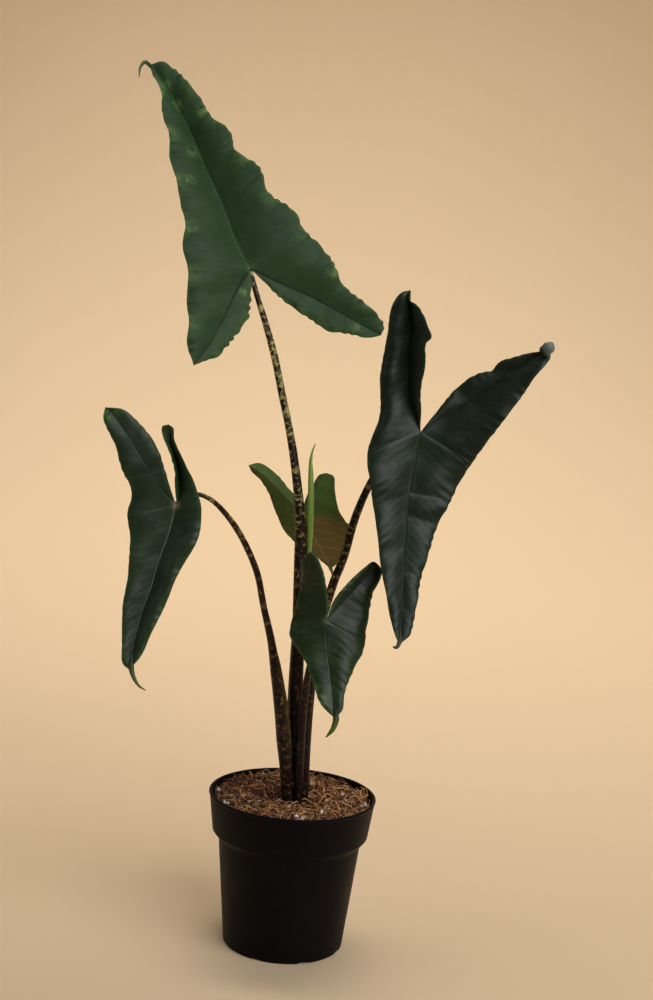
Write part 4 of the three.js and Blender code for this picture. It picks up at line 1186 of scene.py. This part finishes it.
def leaf_cuticle(name, looks):
    """Living leaf: a waxy cuticle over green tissue. The eye sees a broad satin sheen broken by faint streaks
    along the side veins, paler ribs and margins, and a matter, lighter underside with raised veins. Painted
    into the colour are light showing through the blade at the wave crests and in light spots, shade on the
    lobes and in the rib grooves, a sheen round the junction, and a highlight on the right leaf's tails."""
    material, tree = new_tree(name)
    veining, zones, grain, tip_paleness_and_glint = marks_of(tree, "veining", "zones", "grain", "tip_paleness_and_glint")
    rib, vein, rim = parts_of(tree, veining["Color"])
    crest_glow_mask, light_spot, front = parts_of(tree, zones["Color"])
    place = object_place(tree)
    cloud = noise(tree, place, 38, 4, Roughness=0.6)
    patch = noise(tree, place, 110, 3, Roughness=0.6)
    streak = noise(tree, stretched(tree, grain["Vector"], (0.3, 0.08, 1)), 1, 4)
    broken = ranged(tree, patch, 0.38, 0.62)

    # Painted shade: the lobes take the deeper colour by the lobes share.
    painted_lobe_shade = ranged(tree, front, 0, 1, looks["lobes"], 0)
    shade = maths(tree, "MAXIMUM", ranged(tree, cloud, 0.35, 0.68), painted_lobe_shade)
    colour = over(tree, shade, looks["deep"], looks["blade"])
    colour = over(tree, ranged(tree, streak, 0.5, 0.75, 0, 0.3), looks["edge"], colour)
    colour = over(tree, maths(tree, "MULTIPLY", rim, 0.8), looks["edge"], colour)
    # Painted light showing through the blade, at the wave crests and in the light spots.
    patches = maths(tree, "MAXIMUM", maths(tree, "MULTIPLY", crest_glow_mask, looks["crest_glow_strength"]), light_spot)
    colour = over(tree, maths(tree, "MULTIPLY", patches, broken), looks["light"], colour)
    colour = over(tree, maths(tree, "MULTIPLY", vein, 0.5), looks["vein"], colour)
    # Rib colours: where the middle of the midrib and the lobe ribs are dark, that is painted shade in their
    # grooves.
    ribs = over(tree, ranged(tree, rib, 0.7, 0.95), looks["channel"], looks["rib"])
    ribs = over(tree, front, ribs, looks["lobe_rib"])
    colour = over(tree, ranged(tree, rib, 0.15, 0.55, 0, 0.8), ribs, colour)
    # Painted sheen round the junction.
    colour = over(tree, maths(tree, "MULTIPLY", zones["Alpha"], 0.75), looks["junction_sheen"], colour)

    below = over(tree, front, looks["under"], looks["edge"])
    below = over(tree, maths(tree, "MULTIPLY", broken, 0.15), looks["blade"], below)
    raised = maths(tree, "MULTIPLY", maths(tree, "MAXIMUM", vein, rib), ranged(tree, front, 0, 1, 0.12, 0.75))
    below = over(tree, raised, looks["under_vein"], below)
    colour = over(tree, veining["Alpha"], below, colour)
    # The pale end of a tail: a yellow-green tip on most leaves, a painted highlight on the right leaf.
    colour = over(tree, tip_paleness_and_glint["Fac"], looks["pale_tip_and_glint"], colour)

    gloss = ranged(tree, patch, 0.3, 0.7, looks["rough"] - 0.05, looks["rough"] + 0.1)
    duller = maths(tree, "MULTIPLY_ADD", veining["Alpha"], 0.2, gloss)
    relief = maths(tree, "MULTIPLY_ADD", noise(tree, place, 900, 2), 0.2, streak)
    dress(tree, colour, duller, (relief, 0.25, 0.0006), {"IOR": 1.45, "Specular IOR Level": 0.4})
    return material


def petiole_skin():
    """Tiger-striped leaf stalk: smooth waxy skin, near black brown, broken by ragged yellow-green bands a few
    millimetres long that run round it. The eye sees more of them high up, and a satin streak of light."""
    material, tree = new_tree("tiger_petiole_skin")
    wrap, coat = marks_of(tree, "wrap", "coat")
    wrap = wrap["Vector"]
    pale, edge, _ = parts_of(tree, coat["Color"])
    ragged = noise(tree, stretched(tree, wrap, (0.21, 0.21, 0.26)), 1, 3, Roughness=0.55, Distortion=0.4)
    above = maths(tree, "SUBTRACT", ragged, ranged(tree, pale, 0, 1, 0.68, 0.36))
    tint = ranged(tree, noise(tree, wrap, 0.06, 3), 0.4, 0.66)
    colour = over(tree, tint, "#26100a", "#0d0705")
    colour = over(tree, ranged(tree, above, -0.14, 0.02, 0, 0.8), "#3d2612", colour)
    blotch = over(tree, ranged(tree, pale, 0.25, 0.45), "#b3a966", "#7d5630")
    colour = over(tree, ranged(tree, above, -0.02, 0.1), blotch, colour)
    dots = ranged(tree, noise(tree, wrap, 0.9, 3), 0.38, 0.58)
    colour = over(tree, maths(tree, "MULTIPLY", edge, dots), "#77702c", colour)
    ribbing = noise(tree, stretched(tree, wrap, (1.6, 1.6, 0.03)), 1, 2)
    gloss = ranged(tree, ragged, 0, 1, 0.3, 0.55)
    dress(tree, colour, gloss, (ribbing, 0.3, 0.0005), {"IOR": 1.45, "Specular IOR Level": 0.35})
    return material


def young_leaf_skin():
    """Rolled young leaf: soft, bright green and slightly see-through. The eye sees fine lengthwise lines, a
    paler lapped edge and a browned point."""
    material, tree = new_tree("young_leaf_skin")
    wrap, coat = marks_of(tree, "wrap", "coat")
    share, seam, _ = parts_of(tree, coat["Color"])
    veins = noise(tree, stretched(tree, wrap["Vector"], (3.2, 3.2, 0.02)), 1, 3)
    colour = over(tree, ranged(tree, veins, 0.35, 0.65), "#b0cb66", "#7da844")
    colour = over(tree, seam, "#a9cf7c", colour)
    colour = over(tree, ranged(tree, share, 0.93, 1), "#8c6a3a", colour)
    dress(tree, colour, ranged(tree, veins, 0, 1, 0.35, 0.5), (veins, 0.3, 0.0004),
          {"IOR": 1.42, "Subsurface Weight": 0.2, "Subsurface Radius": (0.0012, 0.002, 0.0006)})
    return material


def moulded_polypropylene():
    """Black polypropylene, injection moulded: a fine satin skin. The eye sees a soft broad sheen, slight
    waviness, light scuffs and a little dust."""
    material, tree = new_tree("moulded_polypropylene")
    place = object_place(tree)
    cloud = noise(tree, place, 22, 5, Roughness=0.6)
    colour = over(tree, ranged(tree, cloud, 0.35, 0.7), "#0f0e13", "#080709")
    slanted = stretched(tree, place, (1, 1, 0.25), Rotation=(0.3, 0.2, 0))
    scuff = noise(tree, slanted, 420, 4, Roughness=0.7)
    colour = over(tree, ranged(tree, scuff, 0.66, 0.78, 0, 0.35), "#4a4742", colour)
    gloss = ranged(tree, cloud, 0.3, 0.7, 0.45, 0.58)
    skin = noise(tree, place, 1500, 2)
    dress(tree, colour, gloss, (skin, 0.12, 0.0003), {"IOR": 1.49, "Specular IOR Level": 0.08})
    return material


def coir_crumb():
    """Coir pith: damp brown crumbs. The eye sees dark pits, reddish brown lumps and no sheen."""
    material, tree = new_tree("coir_crumb")
    cloud = noise(tree, object_place(tree), 180, 6, Roughness=0.7)
    colour = over(tree, ranged(tree, cloud, 0.35, 0.68), "#401a0c", "#0c0503")
    dress(tree, colour, ranged(tree, cloud, 0, 1, 0.8, 0.98), (cloud, 0.7, 0.0015), {})
    return material


def toned_matter(name, dark, bright, rough, spots):
    """Loose matter with a tone for each bit: coir fibre or perlite. The eye sees each bit in its own shade
    between two colours, with faint blotches."""
    material, tree = new_tree(name)
    tone = marks_of(tree, "tone")[0]["Fac"]
    blotch = noise(tree, object_place(tree), spots, 3)
    mixed = maths(tree, "MULTIPLY_ADD", blotch, 0.6, tone)
    colour = over(tree, ranged(tree, mixed, 0.2, 1.3), bright, dark)
    dull = ranged(tree, blotch, 0, 1, rough - 0.1, rough + 0.1)
    dress(tree, colour, dull, (blotch, 0.4, 0.0005), {})
    return material


def painted_wall():
    """Matt emulsion paint in a warm pale beige. The eye sees a very slight, soft unevenness of tone."""
    material, tree = new_tree("matt_emulsion")
    shader = tree.nodes["Principled BSDF"].inputs
    tree.links.new(over(tree, noise(tree, object_place(tree), 2.2, 3), "#e6cdaa", "#e2c9a5"),
                   shader["Base Color"])
    shader["Roughness"].default_value = 0.9
    return material


# Making the pieces

# Colours of each leaf. Painted light and shade among them: light is the colour of painted light showing
# through the blade, and the share for the wave crests sets how much of it shows there; lobes is how much
# painted shade darkens the lobes; the channel and lobe rib colours, where dark, are painted shade in the rib
# grooves; the colour at the junction is a painted sheen; on the right leaf the tip colour is a painted
# highlight.
LEAF_LOOKS = {
    "top": dict(blade="#2d4827", deep="#273f22", edge="#3e602f", light="#6d8f50", lobes=0.0, crest_glow_strength=0.5,
                vein="#2c462a", rib="#4f6a47", channel="#2c4029", lobe_rib="#18281a", junction_sheen="#56704c",
                under="#4b6a3c", under_vein="#8a9a66", rough=0.6, pale_tip_and_glint="#6f8f4a"),
    "left": dict(blade="#283a22", deep="#1e2c1c", edge="#33502b", light="#5f8f45", lobes=0.4, crest_glow_strength=0.0,
                 vein="#3d5040", rib="#4a5747", channel="#677262", lobe_rib="#1a2819", junction_sheen="#a59282",
                 under="#3f5230", under_vein="#7d8a5c", rough=0.42, pale_tip_and_glint="#7d8a36"),
    "right": dict(blade="#1c2d1a", deep="#151f13", edge="#263c24", light="#3d5a3c", lobes=0.9, crest_glow_strength=0.0,
                  vein="#667266", rib="#46523f", channel="#131a12", lobe_rib="#1c2619", junction_sheen="#39473a",
                  under="#3c4a2c", under_vein="#7a8458", rough=0.4, pale_tip_and_glint="#8fa394"),
    "front": dict(blade="#283a1e", deep="#18240f", edge="#3b5a2e", light="#6b9340", lobes=0.75, crest_glow_strength=0.0,
                  vein="#1f2c1a", rib="#22311c", channel="#1d2a17", lobe_rib="#121c10", junction_sheen="#5c6450",
                  under="#3f5230", under_vein="#7d8a5c", rough=0.38, pale_tip_and_glint="#6f8d2c"),
    "back": dict(blade="#3a5727", deep="#2d4520", edge="#4a632c", light="#8aa650", lobes=0.0, crest_glow_strength=0.0,
                 vein="#4d6b38", rib="#223c18", channel="#223c18", lobe_rib="#223c18", junction_sheen="#48683a",
                 under="#6a5e30", under_vein="#958150", rough=0.55, pale_tip_and_glint="#7f8d2e"),
}

for name, looks in LEAF_LOOKS.items():
    make_leaf(name, leaf_cuticle("leaf_cuticle_" + name, looks))

stalk_skin = petiole_skin()
for name in STALKS:
    make_stalk(name, stalk_skin)
make_spear(young_leaf_skin())
make_pot(moulded_polypropylene())
make_mix(coir_crumb())
make_fibres("coir_fibres_dark", seed=3, count=1300, lengths=(4, 16), thickness=(0.16, 0.4), rise=1.2, patchy=0,
            material=toned_matter("coir_fibre_dark", dark="#160703", bright="#6c2f14", rough=0.8, spots=300))
make_fibres("coir_fibres_pale", seed=7, count=1300, lengths=(6, 26), thickness=(0.2, 0.5), rise=2.4, patchy=1,
            material=toned_matter("coir_fibre_pale", dark="#5c2b11", bright="#f2b673", rough=0.75, spots=300))
make_grains("coir_lumps", seed=5, count=420, sizes=(0.8, 2.6), sunk=0.55,
            material=toned_matter("coir_lump", dark="#1a0a05", bright="#763819", rough=0.9, spots=400))
make_grains("perlite", seed=9, count=110, sizes=(0.5, 2.7), sunk=0.4,
            material=toned_matter("expanded_perlite", dark="#b9aa98", bright="#f4efe6", rough=0.9, spots=500))


# Floor, backdrop, light and camera

SWEEP_WIDTH = 6400
SWEEP_FRONT = -450
SWEEP_BACK = 2600
SWEEP_HEIGHT = 3800
SWEEP_CURVE = 1500
SWEEP_STEPS = 24
AMBIENT = 0.1
UP = np.array([0, 0, 1.0])
RIGHT = np.array([1.0, 0, 0])
CLIP_METRES = 20


def make_sweep(material):
    """Floor and backdrop in one: flat to the front, a quarter circle, then upright."""
    angle = np.linspace(0, np.pi / 2, SWEEP_STEPS)
    y = np.concatenate([[SWEEP_FRONT], SWEEP_BACK - SWEEP_CURVE + SWEEP_CURVE * np.sin(angle), [SWEEP_BACK]])
    z = np.concatenate([[0], SWEEP_CURVE * (1 - np.cos(angle)), [SWEEP_HEIGHT]])
    x = np.array([-SWEEP_WIDTH / 2, SWEEP_WIDTH / 2])
    points = np.stack(np.broadcast_arrays(x[None, :], y[:, None], z[:, None]), -1)
    make_piece("sweep", points.reshape(-1, 3), [grid_quads(len(y), 2)], material, {})


def place_object(name, data, right, up, back, place):
    """Adds a light or a camera, turned to its three axes, at a place in millimetres."""
    holder = bpy.data.objects.new(name, data)
    bpy.context.scene.collection.objects.link(holder)
    matrix = np.eye(4)
    matrix[:3] = np.stack([right, up, back, np.array(place) * MM], -1)
    holder.matrix_world = matrix.T.tolist()
    return holder


def add_light(name, place, target, size, spread, watts, colour):
    """A rectangular soft light, sized in millimetres, that points at a target and spreads by an angle in
    degrees."""
    lamp = bpy.data.lights.new(name, "AREA")
    lamp.shape = "RECTANGLE"
    lamp.size, lamp.size_y = size[0] * MM, size[1] * MM
    lamp.spread = math.radians(spread)
    lamp.energy = watts
    lamp.color = linear(colour)[:3]
    back = unit(np.subtract(place, target))
    side = unit(np.cross(UP, back))
    place_object(name, lamp, side, np.cross(back, side), back, place)


make_sweep(painted_wall())
add_light("key_softbox", place=(1300, -1700, 1750), target=(0, 0, 480), size=(2400, 1900), spread=180,
          watts=46, colour="#ffffff")
add_light("left_softbox", place=(-1500, -500, 1300), target=(0, 0, 450), size=(700, 1200), spread=180,
          watts=1.5, colour="#ffffff")
add_light("wall_light", place=(-100, 800, 2900), target=(0, 1600, 0), size=(2400, 600), spread=95,
          watts=22, colour="#fff7ee")

world = bpy.data.worlds.new("studio")
world.use_nodes = True
background = world.node_tree.nodes["Background"].inputs
background["Color"].default_value = linear("#fff6ea")
background["Strength"].default_value = AMBIENT
bpy.context.scene.world = world

lens = bpy.data.cameras.new("camera")
lens.sensor_width = SENSOR
lens.lens = FOCAL_PIXELS / PHOTO_HEIGHT * SENSOR
lens.clip_end = CLIP_METRES
ahead = np.array([0, math.cos(CAMERA_PITCH), -math.sin(CAMERA_PITCH)])
level_up = np.cross(RIGHT, ahead)
right = math.cos(CAMERA_ROLL) * RIGHT + math.sin(CAMERA_ROLL) * level_up
up = math.cos(CAMERA_ROLL) * level_up - math.sin(CAMERA_ROLL) * RIGHT
bpy.context.scene.camera = place_object("camera", lens, right, up, -ahead, CAMERA_PLACE)
bpy.context.scene.view_settings.view_transform = "Standard"
